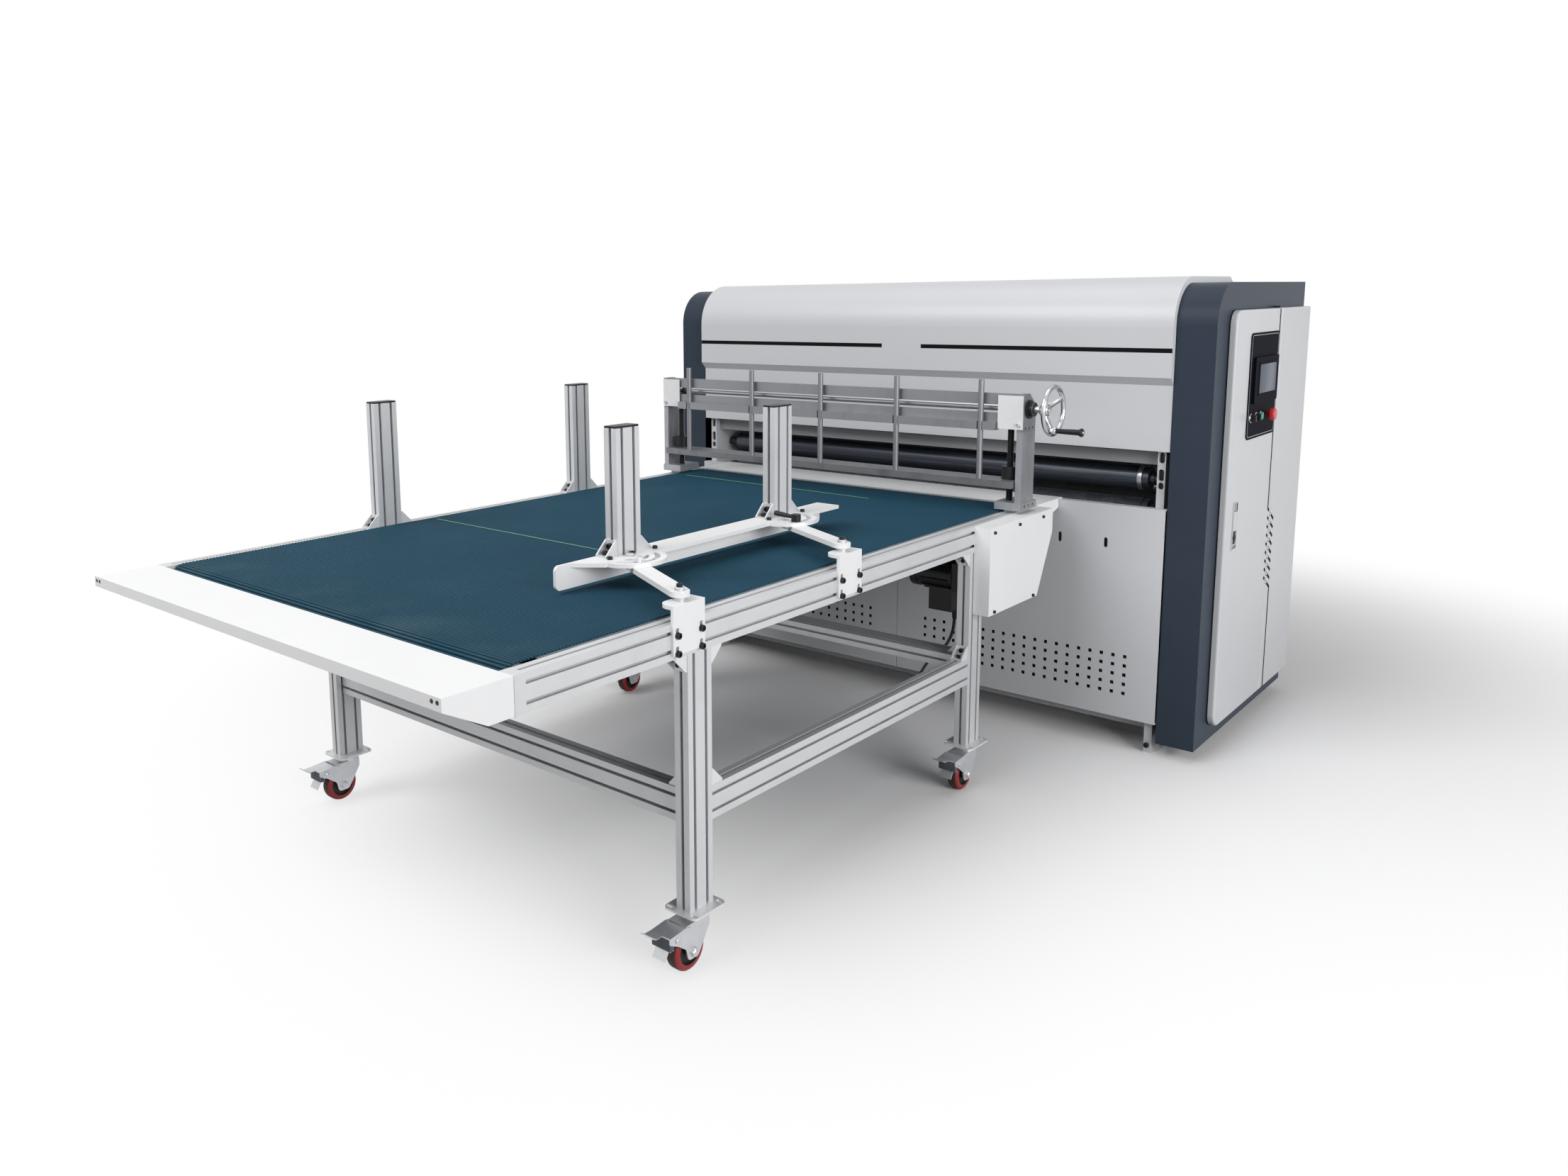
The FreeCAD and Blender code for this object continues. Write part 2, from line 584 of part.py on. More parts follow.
def gate_frame():
    """Foot blocks, columns, the cross rail of strips and shelf, and the shaft's bearing flange."""
    front = GATE_Y - 39
    side = COLUMN_X + COLUMN_T
    base = box(SCREW_X - 28, front - 5, BASE_LOW, side + 2, GATE_Y + 68, BASE_TOP)
    base = base.fuse(box(RAIL_IN + 2, GATE_Y - 26, RAIL_TOP, RAIL_X, GATE_Y + 54, BASE_LOW)).removeSplitter()
    base = base.cut(rod(SCREW_X, GATE_Y, BASE_TOP - 14, 6 + FIT, 20, AZ))
    for y in (-14, 14, 42):
        base = base.cut(rod(side - 8, GATE_Y + y, BASE_TOP - 12, 4, 20, AX))
    outline = [(front, BASE_TOP), (GATE_Y + 48, BASE_TOP), (GATE_Y + 48, GATE_TOP - 36),
               (GATE_Y + 4, GATE_TOP), (front, GATE_TOP)]
    column = slab(outline, COLUMN_X, side)
    column = column.cut(rod(COLUMN_X - 1, GATE_Y, SHAFT_Z, SHAFT_R + FIT, COLUMN_T + 2, AX))
    for y in (-21, 5, 31):
        column = column.cut(rod(COLUMN_X - 1, GATE_Y + y, SHELF_LOW + 8, 3.5, COLUMN_T + 2, AX))
    end = SCREW_X - 30
    shelf = box(-end, ROD_Y - 8, SHELF_LOW, end, GATE_Y - 24, SHELF_TOP)
    clear = ROD_R + GAP
    for i in range(-2, 3):
        x = i * ROD_PITCH
        shelf = shelf.cut(rod(x, ROD_Y, SHELF_LOW - 1, clear, SHELF_TOP - SHELF_LOW + 2, AZ))
        shelf = shelf.cut(box(x - clear, ROD_Y - 20, SHELF_LOW - 1, x + clear, ROD_Y, SHELF_TOP + 1))
    strips = []
    for low, top in ((SHELF_TOP, SHELF_TOP + 27), (GATE_TOP - 35, GATE_TOP)):
        strips.append(box(-COLUMN_X, GATE_Y - 34, low, COLUMN_X, GATE_Y - 24, top))
    flange = ring(side, GATE_Y, SHAFT_Z, 22, SHAFT_R + FIT, 19, AX)
    save("gate_frame", base, mirrored(base), column, mirrored(column), shelf, *strips, flange)


def gear_covers():
    front = GATE_Y - 39
    inner = SCREW_X - 26
    low = SHELF_LOW + 5
    cover = box(inner, front - SHEET, low, COLUMN_X + COLUMN_T, front, GATE_TOP - 5)
    cover = cover.fuse(box(inner, front - SHEET, low, COLUMN_X, GATE_Y + 40, low + SHEET))
    cover = cover.cut(rod(SCREW_X, GATE_Y, low - 1, SCREW_R + 2, SHEET + 2, AZ)).removeSplitter()
    save("gear_covers", cover, mirrored(cover))


def cross_shaft():
    shaft = rod(-COLUMN_X - COLUMN_T, GATE_Y, SHAFT_Z, SHAFT_R, COLUMN_X + COLUMN_T + WHEEL_X - 18, AX)
    for side in SIDES:
        near = Part.makeCone(11.4, 21.4, 10, V(side * (SCREW_X - 12), GATE_Y, SHAFT_Z), AX * -side)
        shaft = shaft.fuse(near)
    save("cross_shaft", shaft.removeSplitter())


def lead_screws():
    screw = rod(SCREW_X, GATE_Y, BASE_TOP + GAP, SCREW_R, SHAFT_Z - 22 - BASE_TOP - GAP, AZ)
    screw = screw.fuse(rod(SCREW_X, GATE_Y, BASE_TOP - 13, 6, 20, AZ))
    screw = screw.fuse(Part.makeCone(21.4, 11.4, 10, V(SCREW_X, GATE_Y, SHAFT_Z - 22), AZ)).removeSplitter()
    save("lead_screw_right", screw)
    save("lead_screw_left", mirrored(screw))


def gate_bar():
    half = COLUMN_X - 4
    bar = box(-half, ROD_Y - 10, BAR_LOW, half, GATE_Y + 30, BAR_LOW + BAR_T)
    for side in SIDES:
        bar = bar.cut(rod(side * SCREW_X, GATE_Y, BAR_LOW - 1, SCREW_R + 2, BAR_T + 2, AZ))
    rods = []
    for i in range(-2, 3):
        pin = rod(i * ROD_PITCH, ROD_Y, BAR_LOW + BAR_T, ROD_R, ROD_TOP - BAR_LOW - BAR_T, AZ)
        rods.append(pin.cut(rod(i * ROD_PITCH, ROD_Y, ROD_TOP - 20, ROD_R - 3, 30, AZ)))
    save("gate_bar", bar, *rods)
    nut = ring(SCREW_X, GATE_Y, BAR_LOW + BAR_T, 25, SCREW_R + FIT, NUT_H, AZ)
    save("gate_nuts", nut, mirrored(nut))


def handwheel():
    """Dished wheel: a hub behind the rim, arms flaring out to it and a crank pin with its grip."""
    back = WHEEL_X - 38
    crank_z = SHAFT_Z - CRANK_R
    wheel = Part.makeTorus(RIM_R, 7.5, V(WHEEL_X, GATE_Y, SHAFT_Z), AX)
    wheel = wheel.fuse(rod(back, GATE_Y, SHAFT_Z, 19, 26, AX))
    half = 9.0
    arm = [(WHEEL_X - 34, 8), (WHEEL_X - 14, 8), (WHEEL_X - 4, 42), (WHEEL_X + 5, RIM_R),
           (WHEEL_X - 6, RIM_R), (WHEEL_X - 16, 46)]
    face = Part.Face(Part.makePolygon([V(x, -half, -r) for x, r in arm + arm[:1]]))
    spoke = face.extrude(V(0, 2 * half, 0))
    for i in range(SPOKES):
        turned = spoke.rotated(V(0, 0, 0), AX, 360 * i / SPOKES)
        wheel = wheel.fuse(turned.translated(V(0, GATE_Y, SHAFT_Z)))
    wheel = wheel.fuse(rod(WHEEL_X - 6, GATE_Y, crank_z, 12, 18, AX))
    wheel = wheel.cut(rod(back - 1, GATE_Y, SHAFT_Z, SHAFT_R, 21, AX))
    wheel = wheel.fuse(rod(WHEEL_X, GATE_Y, crank_z, CRANK_PIN_R, 90, AX))
    save("handwheel", wheel.removeSplitter())
    start = WHEEL_X + 12 + GAP
    grip = Part.makeCone(7.5, 9, 74, V(start, GATE_Y, crank_z), AX)
    knob = rod(start + 72, GATE_Y, crank_z, 13, 10, AX)
    knob = knob.makeFillet(4, [e for e in knob.Edges if e.Closed])
    bore = rod(WHEEL_X, GATE_Y, crank_z, CRANK_PIN_R + FIT, 90 + GAP, AX)
    save("crank_grip", grip.fuse(knob).cut(bore).removeSplitter())


# Side guides

def left_posts():
    posts = [beam(V(-RAIL_X, y, RAIL_TOP), V(-RAIL_IN, y + 2 * MODULE, POSTS_Z)) for y in LEFT_POSTS_Y]
    save("left_posts", *posts)


def guide_brackets():
    """Slotted plates on the rail's side, each with a tab and a pin for a guide arm."""
    pieces = []
    half = 52.0
    top = ARM_LOW - 10
    face = RAIL_X + 7
    for y in PIVOTS_Y:
        plate = box(RAIL_X, y - half, RAIL_LOW + 11, face, y + half, top)
        for slot_y in (y - 39, y + 39):
            for z in (RAIL_LOW + MODULE / 2, RAIL_TOP - MODULE / 2):
                plate = plate.cut(box(RAIL_X - 1, slot_y - 4.5, z - 10, face + 1, slot_y + 4.5, z + 10))
        tab = [(RAIL_IN, y - half), (RAIL_X + 1, y - half), (RAIL_X + 1, y + half), (RAIL_IN, y + half)]
        plate = plate.fuse(plan(tab, top - 8, top, [30, 0, 0, 4]))
        plate = plate.fuse(rod(PIVOT_X, y, top, 14, 10 - GAP, AZ))
        plate = plate.fuse(rod(PIVOT_X, y, top, PIN_R, 10 + ARM_T + 4, AZ))
        pieces.append(plate.fuse(rod(PIVOT_X, y, ARM_LOW + ARM_T + GAP, 11, 7, AZ)).removeSplitter())
    save("guide_brackets", *pieces)


def guide_arms():
    length = math.hypot(ARM_DX, ARM_DY)
    turn = math.degrees(math.atan2(ARM_DY, ARM_DX))
    r = 22.5
    for name, y in zip(("guide_arm_front", "guide_arm_rear"), PIVOTS_Y):
        top = ARM_LOW + ARM_T
        arm = box(0, -r, ARM_LOW, length, r, top)
        for x in (0, length):
            arm = arm.fuse(rod(x, 0, ARM_LOW, r, ARM_T, AZ))
        arm = arm.cut(rod(0, 0, ARM_LOW - 1, PIN_R + FIT, ARM_T + 2, AZ)).removeSplitter()
        arm = arm.fuse(rod(length, 0, top - 2, PIN_R, FLANGE_TOP - top + 4, AZ))
        arm = arm.fuse(rod(length, 0, FLANGE_TOP + GAP, 9, 6, AZ))
        stud = length - SLOT_R
        arm = arm.fuse(rod(stud, 0, top - 2, 5, FLANGE_TOP - top + 14, AZ))
        if name == "guide_arm_front":
            arm = arm.fuse(rod(stud, 0, FLANGE_TOP + GAP, 10, 8, AZ))
        arm.rotate(V(0, 0, 0), AZ, turn)
        save(name, arm.translated(V(PIVOT_X, y, 0)).removeSplitter())


def clamp_lever():
    """Lever on the rear arm's stud; its handle lies just short of the post's bracket."""
    share = 1 - SLOT_R / math.hypot(ARM_DX, ARM_DY)
    low = FLANGE_TOP + GAP
    lever = rod(0, 0, low, 13, 20, AZ).cut(rod(0, 0, low - 1, 5 + FIT, 14, AZ))
    handle = Part.makeCone(5, 7.5, 58, V(-8, 0, low + 12), V(-1, 0, 0.12))
    handle = handle.makeFillet(5, [e for e in handle.Edges if e.Closed and e.BoundBox.XMax < -50])
    lever = lever.fuse(handle).removeSplitter()
    lever.rotate(V(0, 0, 0), AZ, 10)
    save("clamp_lever", lever.translated(V(PIVOT_X + ARM_DX * share, PIVOTS_Y[1] + ARM_DY * share, 0)))


def half_disc(x, y):
    """Half disc with an arc slot for the clamp stud and an opening inside it."""
    def half_plane(r, edge):
        return rod(x, y, FLANGE_LOW, r, FLANGE_T, AZ).common(
            box(edge, y - r, FLANGE_LOW, x + r, y + r, FLANGE_TOP))
    slot = ring(x, y, FLANGE_LOW, SLOT_R + 6.5, SLOT_R - 6.5, FLANGE_T, AZ)
    slot = slot.common(box(x + 14, y - DISC_R, FLANGE_LOW, x + DISC_R, y + DISC_R, FLANGE_TOP))
    return half_plane(DISC_R, x - 20).cut(slot).cut(half_plane(46, x + 18))


def guide_bar():
    """Angle of web and flange on two half discs, with the two posts that stand on it."""
    pivot_x = PIVOT_X + ARM_DX
    centres = [y + ARM_DY for y in PIVOTS_Y]
    wall = 8.0
    low = BELT_TOP + 8
    edge = GUIDE_X + 75
    web = [(GUIDE_FRONT, low), (GUIDE_FRONT, FLANGE_TOP), (GUIDE_END, FLANGE_TOP), (GUIDE_END, low)]
    bar = slab(web, GUIDE_X, GUIDE_X + wall, [14, 14, 0, 14])
    flange = [(GUIDE_X, GUIDE_FRONT + 40), (edge, GUIDE_FRONT + 100), (edge, GUIDE_END), (GUIDE_X, GUIDE_END)]
    bar = bar.fuse(plan(flange, FLANGE_LOW, FLANGE_TOP))
    for y in centres:
        bar = bar.fuse(half_disc(pivot_x, y))
        bar = bar.cut(rod(pivot_x, y, FLANGE_LOW - 1, PIN_R + FIT, FLANGE_T + 2, AZ))
    save("guide_bar", bar.removeSplitter())
    x = GUIDE_X + 4
    posts = []
    for y in centres:
        start = y - GUIDE_POSTS_DY
        posts.append(beam(V(x, start, FLANGE_TOP), V(x + MODULE, start + 2 * MODULE, POSTS_Z)))
        posts.append(corner_bracket(x + MODULE / 2, start, FLANGE_TOP, 180))
        posts.append(corner_bracket(x + MODULE / 2, start + 2 * MODULE, FLANGE_TOP, 0))
    save("guide_posts", *posts)


# Press body

def pocket(x, y, z0, z1):
    """Blind slot with round ends, cut into a plate's front edge for the bearing bolts."""
    r = 8.5
    depth = 18.0
    slot = box(x - r, y - 1, z0 + r, x + r, y + depth, z1 - r)
    for z in (z0 + r, z1 - r):
        slot = slot.fuse(rod(x, y - 1, z, r, depth + 1, AY))
    return slot


def body_frame():
    """Side plates on feet, their bearings, the posts that carry the end covers and two tie beams."""
    inner = HOOD_TOP - SHEET
    step = BODY_TOP - 26
    outline = [(FRAME_FRONT, 0), (FRAME_FRONT + FOOT_L, 0), (FRAME_FRONT + FOOT_L, FOOT_H),
               (FRAME_BACK - FOOT_L, FOOT_H), (FRAME_BACK - FOOT_L, 0), (FRAME_BACK, 0),
               (FRAME_BACK, BODY_TOP - 4), (HOOD_BACK + 18, BODY_TOP - 4), (HOOD_BACK + 18, step),
               (HOOD_BACK - 52, step), (HOOD_BACK - 52, inner), (HOOD_FRONT + HOOD_R + 23, inner),
               (FRAME_FRONT, HOOD_LOW - 11)]
    plate = slab(outline, BODY_X + FRAME_HALF, BODY_X + FRAME_OUT)
    for low, top in ((23, 46), (50, 88), (107, 141)):
        middle = BODY_X + FRAME_HALF + FRAME_T / 2
        plate = plate.cut(pocket(middle, FRAME_FRONT, NIP_TOP + low, NIP_TOP + top))
    pieces = []
    for y, z, r in AXES:
        plate = plate.cut(rod(BODY_X + FRAME_HALF - 1, y, z, r + 2, FRAME_T + 2, AX))
        pieces.append(ring(BODY_X + FRAME_OUT, y, z, r + 20, r + FIT, BEARING_W, AX))
    post_len = BODY_HALF - SHEET - FRAME_OUT
    for y in (FRAME_FRONT + 40, FRAME_BACK - 60):
        for z in (200, HOOD_LOW - 60):
            pieces.append(rod(BODY_X + FRAME_OUT, y, z, 14, post_len, AX))
    pieces.append(plate)
    pieces += [mirrored(p, BODY_X) for p in pieces]
    left = BODY_X - FRAME_HALF
    right = BODY_X + FRAME_HALF
    for y in (MOTOR_Y + CABLE[-1][1], FRAME_BACK - 160):
        pieces.append(box(left, y, TIE_LOW, right, y + TIE, TIE_LOW + TIE))
    save("body_frame", *pieces)
    beam_y = FRAME_FRONT + 26
    lip = box(left, beam_y - 12, UPPER_LOW - 11, right, beam_y - 6, UPPER_LOW - 7)
    save("press_beam", box(left, beam_y, NIP_TOP + 98, right, beam_y + 30, UPPER_LOW + 16), lip)


def rollers():
    """Feed and press rollers with collars, journals and the gears that join each pair."""
    left = BODY_X - FRAME_OUT - BEARING_W - GAP - GEAR_W
    end = BODY_X + FRAME_OUT + 22
    for name, y, z, r, shaft, half, teeth in (
            ("feed_roller_upper", FEED_Y, FEED_HIGH_Z, FEED_R, FEED_SHAFT_R, FEED_HALF, 24),
            ("feed_roller_lower", FEED_Y, FEED_LOW_Z, FEED_R, FEED_SHAFT_R, FEED_HALF, 24),
            ("press_roller_upper", PRESS_Y, PRESS_HIGH_Z, PRESS_R, PRESS_SHAFT_R, PRESS_HALF, 36),
            ("press_roller_lower", PRESS_Y, PRESS_LOW_Z, PRESS_R, PRESS_SHAFT_R, PRESS_HALF, 36)):
        pitch_r = r + (NIP_TOP - NIP_LOW) / 2
        lower = name.endswith("lower")
        right = end + 96 if name == "press_roller_lower" else end
        roller = rod(BODY_X - half, y, z, r, 2 * half, AX)
        for reach, stage in ((20, r - 3), (34, shaft + 6)):
            roller = roller.fuse(rod(BODY_X - half - reach, y, z, stage, 2 * (half + reach), AX))
        roller = roller.fuse(rod(left - 6, y, z, shaft, right - left + 6, AX))
        teeth_from = 0.25 * teeth if lower else 0.25 * teeth + 0.5
        wheel = gear(left, y, z, pitch_r, teeth, GEAR_W, teeth_from)
        save(name, roller.fuse(wheel).removeSplitter())


def press_motor():
    """Gear motor with a hollow shaft on the lower press roller, hung in the right end cover."""
    x0 = BODY_X + FRAME_OUT + 20
    x1 = x0 + 86
    case = box(x0, PRESS_Y - 90, PRESS_LOW_Z - 90, x1, PRESS_Y + 90, PRESS_LOW_Z + 90)
    case = case.cut(rod(x0 - 1, PRESS_Y, PRESS_LOW_Z, PRESS_SHAFT_R + FIT, 100, AX))
    arm = box(BODY_X + FRAME_OUT, PRESS_Y - 90, PRESS_LOW_Z - 110, x1, PRESS_Y + 90, PRESS_LOW_Z - 90)
    motor = rod((x0 + x1) / 2, PRESS_Y + 90, PRESS_LOW_Z, 52, 300, AY)
    save("press_motor", case, arm, motor)


def end_covers():
    outline = [(BODY_FRONT, BODY_LOW), (BODY_FRONT, BODY_TOP), (BODY_BACK, BODY_TOP), (BODY_BACK, BODY_LOW)]
    cover = shell(outline, COVER_IN, DOOR_X, [0, 130, 0, 0], COVER_IN)
    save("left_end_cover", mirrored(cover, BODY_X))
    doorway = box(DOOR_X - 10, DOOR_FRONT + 55, DOOR_LOW + 45, DOOR_X + 1, DOOR_BACK + 6, DOOR_TOP - 40)
    cover = cover.cut(doorway)
    for low, pin in ((DOOR_LOW - 7, DOOR_LOW - 3), (DOOR_TOP + GAP, DOOR_TOP - 12)):
        cover = cover.fuse(box(DOOR_X - 1, HINGE_Y - 10, low, HINGE_X + 8, HINGE_Y + 10, low + 7 - GAP))
        cover = cover.fuse(rod(HINGE_X, HINGE_Y, pin, HINGE_R, 15, AZ))
    save("right_end_cover", cover.removeSplitter())


def hood():
    outline = [(UPPER_FRONT, HOOD_LOW), (HOOD_FRONT, HOOD_LOW + 25), (HOOD_FRONT, HOOD_TOP),
               (HOOD_BACK - 35, HOOD_TOP), (HOOD_BACK, BODY_TOP - 1), (HOOD_BACK, HOOD_LOW)]
    radii = [0, 0, HOOD_R, 0, 0, 0]
    x0 = PANEL_LEFT + SHEET
    x1 = PANEL_RIGHT - SHEET
    points = [V(x0, y, z) for y, z in outline]
    inner = Part.Face(arc_path(points, radii, True)).makeOffset2D(-SHEET, 2)
    cavity = Part.Face(inner.Wires[0]).extrude(V(x1 - x0, 0, 0))
    body = slab(outline, PANEL_LEFT, PANEL_RIGHT, radii).cut(cavity)
    low = HOOD_LOW - 1
    back = HOOD_BACK - SHEET
    body = body.cut(box(x0, HOOD_FRONT + 40, low, x1, back, HOOD_LOW + SHEET + 1))
    body = body.cut(box(PANEL_LEFT - 1, FRAME_FRONT - 6, low, PANEL_RIGHT + 1, HOOD_BACK + 1, HOOD_LOW + 20))
    body = body.cut(box(PANEL_LEFT - 1, back - 1, low, PANEL_RIGHT + 1, HOOD_BACK + 1, BODY_TOP - 16))
    save("hood", body)


def front_panels():
    """Upper front panel and the two lower ones with their square perforation and hand slots."""
    upper = box(PANEL_LEFT, UPPER_FRONT, UPPER_LOW, PANEL_RIGHT, UPPER_FRONT + SHEET, HOOD_LOW)
    for z in (UPPER_LOW, HOOD_LOW - SHEET):
        upper = upper.fuse(box(PANEL_LEFT, UPPER_FRONT, z, PANEL_RIGHT, FRAME_FRONT, z + SHEET))
    lower = []
    first = 116.0
    y0 = LOWER_FRONT - 1
    y1 = LOWER_FRONT + SHEET + 1
    for side, far in ((-1, PANEL_LEFT), (1, PANEL_RIGHT)):
        near = SPLIT_X + side
        a, b = min(near, far), max(near, far)
        panel = box(a, LOWER_FRONT, LOWER_LOW, b, LOWER_FRONT + SHEET, LOWER_TOP)
        for z in (LOWER_LOW, LOWER_TOP - SHEET):
            panel = panel.fuse(box(a, LOWER_FRONT, z, b, FRAME_FRONT, z + SHEET))
        holes = []
        pitch = (abs(far - SPLIT_X) - first - 104) / (HOLE_COLUMNS - 1)
        for column in range(HOLE_COLUMNS):
            x = SPLIT_X + side * (first + pitch * column)
            for row in range(HOLE_ROWS):
                z = LOWER_LOW + 77 + 31 * row
                holes.append(box(x - HOLE / 2, y0, z, x + HOLE / 2, y1, z + HOLE))
        for x in (far - side * 335, far - side * 182):
            holes.append(box(x - SLOT_W / 2, y0, LOWER_TOP - 136, x + SLOT_W / 2, y1, LOWER_TOP - 115))
            for z in (LOWER_TOP - 136, LOWER_TOP - 115):
                holes.append(rod(x, y0, z, SLOT_W / 2, y1 - y0, AY))
        lower.append(panel.removeSplitter().cut(holes))
    save("front_panels", upper.removeSplitter(), *lower)


def side_panel(front, back, radii):
    """White panel on an end cover: a tray with rounded outer edges, open toward the cover."""
    outline = [(front, DOOR_LOW), (front, DOOR_TOP), (back, DOOR_TOP), (back, DOOR_LOW)]
    panel = slab(outline, DOOR_X, DOOR_FACE, radii)
    rim = [e for e in panel.Edges if e.BoundBox.XMin > DOOR_FACE - 0.01]
    panel = panel.makeFillet(8, rim)
    m = 18.0
    return panel.cut(box(DOOR_X - 1, front + m, DOOR_LOW + m, DOOR_FACE - SHEET, back - m, DOOR_TOP - m))


def fixed_panels():
    """Rear panels and the side panels that do not open."""
    back = BODY_BACK - SHEET
    upper = box(PANEL_LEFT, back, UPPER_LOW, PANEL_RIGHT, BODY_BACK, BODY_TOP - 1)
    upper = upper.fuse(box(PANEL_LEFT, HOOD_BACK + 1, BODY_TOP - 4, PANEL_RIGHT, BODY_BACK, BODY_TOP - 1))
    upper = upper.fuse(box(PANEL_LEFT, FRAME_BACK, UPPER_LOW, PANEL_RIGHT, BODY_BACK, UPPER_LOW + SHEET))
    lower = box(PANEL_LEFT, back, LOWER_LOW, PANEL_RIGHT, BODY_BACK, LOWER_TOP)
    for z in (LOWER_LOW, LOWER_TOP - SHEET):
        lower = lower.fuse(box(PANEL_LEFT, FRAME_BACK, z, PANEL_RIGHT, BODY_BACK, z + SHEET))
    rear = side_panel(DOOR_BACK + 6.5, BODY_BACK - 4, [0, 0, 0, 0])
    front = side_panel(DOOR_FRONT, DOOR_BACK, [DOOR_R, DOOR_R, 0, 0])
    sides = [rear, mirrored(rear, BODY_X), mirrored(front, BODY_X)]
    save("fixed_panels", upper.removeSplitter(), lower.removeSplitter(), *sides)


# Cabinet door and controls

def cabinet_door():
    """Door tray with a round hinge edge, a pocket for the latch and holes for the buttons."""
    door = side_panel(DOOR_FRONT, DOOR_BACK, [DOOR_R, DOOR_R, 0, 0]).translated(V(GAP, 0, 0))
    low = DOOR_LOW - 1
    height = DOOR_TOP - DOOR_LOW + 2
    edge = box(DOOR_X, HINGE_Y, low, DOOR_FACE + 1, DOOR_BACK + 1, DOOR_TOP + 1)
    door = door.cut(edge.cut(rod(HINGE_X, HINGE_Y, low, DOOR_T / 2, height, AZ)))
    wall = LATCH_HALF + 6
    y0 = LATCH_Y - LATCH_HALF
    y1 = LATCH_Y + LATCH_HALF
    door = door.fuse(box(DOOR_FACE - 19, y0 - 6, LATCH_LOW - 9, DOOR_FACE - 2, y1 + 6, LATCH_TOP + 9))
    door = door.cut(box(DOOR_FACE - 14, y0, LATCH_LOW, DOOR_FACE + 1, y1, LATCH_TOP))
    door = door.cut(rod(LATCH_X, LATCH_Y - wall + 1, LATCH_Z, LATCH_PIN_R + FIT, 2 * wall - 2, AY))
    for z in (DOOR_LOW - 1, DOOR_TOP - 13):
        door = door.cut(rod(HINGE_X, HINGE_Y, z, HINGE_R + FIT, 14, AZ))
    for y in (START_Y, STOP_Y):
        door = door.cut(rod(DOOR_X, y, BUTTON_Z, 5 + FIT, DOOR_T + 2, AX))
    save("cabinet_door", door.removeSplitter())


def door_latch():
    """Paddle handle with a round lower end, hung on a pin across the door's pocket."""
    half = LATCH_HALF - GAP
    r = LATCH_T / 2
    top = LATCH_TOP - 28
    paddle = box(LATCH_X - r, LATCH_Y - half, LATCH_Z, LATCH_X + r, LATCH_Y + half, top)
    paddle = paddle.makeFillet(4, [e for e in paddle.Edges if e.BoundBox.ZMin > top - 1])
    paddle = paddle.fuse(rod(LATCH_X, LATCH_Y - half, LATCH_Z, r, 2 * half, AY))
    paddle = paddle.fuse(rod(LATCH_X, LATCH_Y - half - 4, LATCH_Z, LATCH_PIN_R, 2 * half + 8, AY))
    save("door_latch", paddle.removeSplitter())


def control_panel():
    """Plate on the door with the screen's housing and the collars of the controls."""
    face = DOOR_FACE + GAP
    outline = [(PLATE_FRONT, PLATE_LOW), (PLATE_FRONT, PLATE_TOP), (PLATE_BACK, PLATE_TOP),
               (PLATE_BACK, PLATE_LOW)]
    plate = slab(outline, face, PLATE_FACE, [18] * 4)
    for y in (START_Y, STOP_Y):
        plate = plate.cut(rod(face - 1, y, BUTTON_Z, 5 + FIT, SHEET + 2, AX))
    pieces = [plate]
    for y in (*SELECTORS_Y, START_Y):
        pieces.append(ring(PLATE_FACE, y, BUTTON_Z, 14.5, 12 + GAP, 5, AX))
    y0, y1 = PLATE_FRONT + 34, PLATE_BACK - 20
    z0, z1 = PLATE_LOW + 114, PLATE_LOW + 262
    screen = slab([(y0, z0), (y0, z1), (y1, z1), (y1, z0)], PLATE_FACE, PLATE_FACE + 8, [6] * 4)
    save("control_panel", *pieces, screen)


def controls():
    face = PLATE_FACE
    z0 = BUTTON_Z - 11
    z1 = BUTTON_Z + 11
    for name, y in zip(("selector_left", "selector_right"), SELECTORS_Y):
        knob = rod(face + GAP, y, BUTTON_Z, 12, 9, AX)
        handle = [(y - 4, z0), (y + 4, z0), (y + 4, z1), (y - 4, z1)]
        knob = knob.fuse(slab(handle, face + 5, face + 20, [3] * 4))
        save(name, knob.removeSplitter())
    start = rod(face + 5, START_Y, BUTTON_Z, 12, 6, AX).fuse(rod(face - 24, START_Y, BUTTON_Z, 5, 30, AX))
    save("start_button", start.removeSplitter())
    head = rod(face + STOP_OUT - 14 - GAP, STOP_Y, BUTTON_Z, 20, 14, AX)
    head = head.makeFillet(5, [e for e in head.Edges if e.Closed and e.BoundBox.XMin > face + STOP_OUT - 2])
    neck = Part.makeCone(12, 15, STOP_OUT - 20, V(face + 7, STOP_Y, BUTTON_Z), AX)
    stop = head.fuse(neck).fuse(rod(face - 24, STOP_Y, BUTTON_Z, 5, 40, AX))
    save("emergency_stop", stop.removeSplitter())


os.makedirs("parts", exist_ok=True)
for build in (table_rails, leg_frame, frame_fittings, front_end_cover, conveyor_belt, belt_bed, drums,
              transition_plate, drive_cover, belt_motor, motor_cable, casters, gate_frame, gear_covers,
              cross_shaft, lead_screws, gate_bar, handwheel, left_posts, guide_brackets, guide_arms,
              clamp_lever, guide_bar, body_frame, rollers, press_motor, end_covers, hood, front_panels,
              fixed_panels, cabinet_door, door_latch, control_panel, controls):
    build()
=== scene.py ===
import math
import bmesh
import bpy
from mathutils import Matrix, Vector


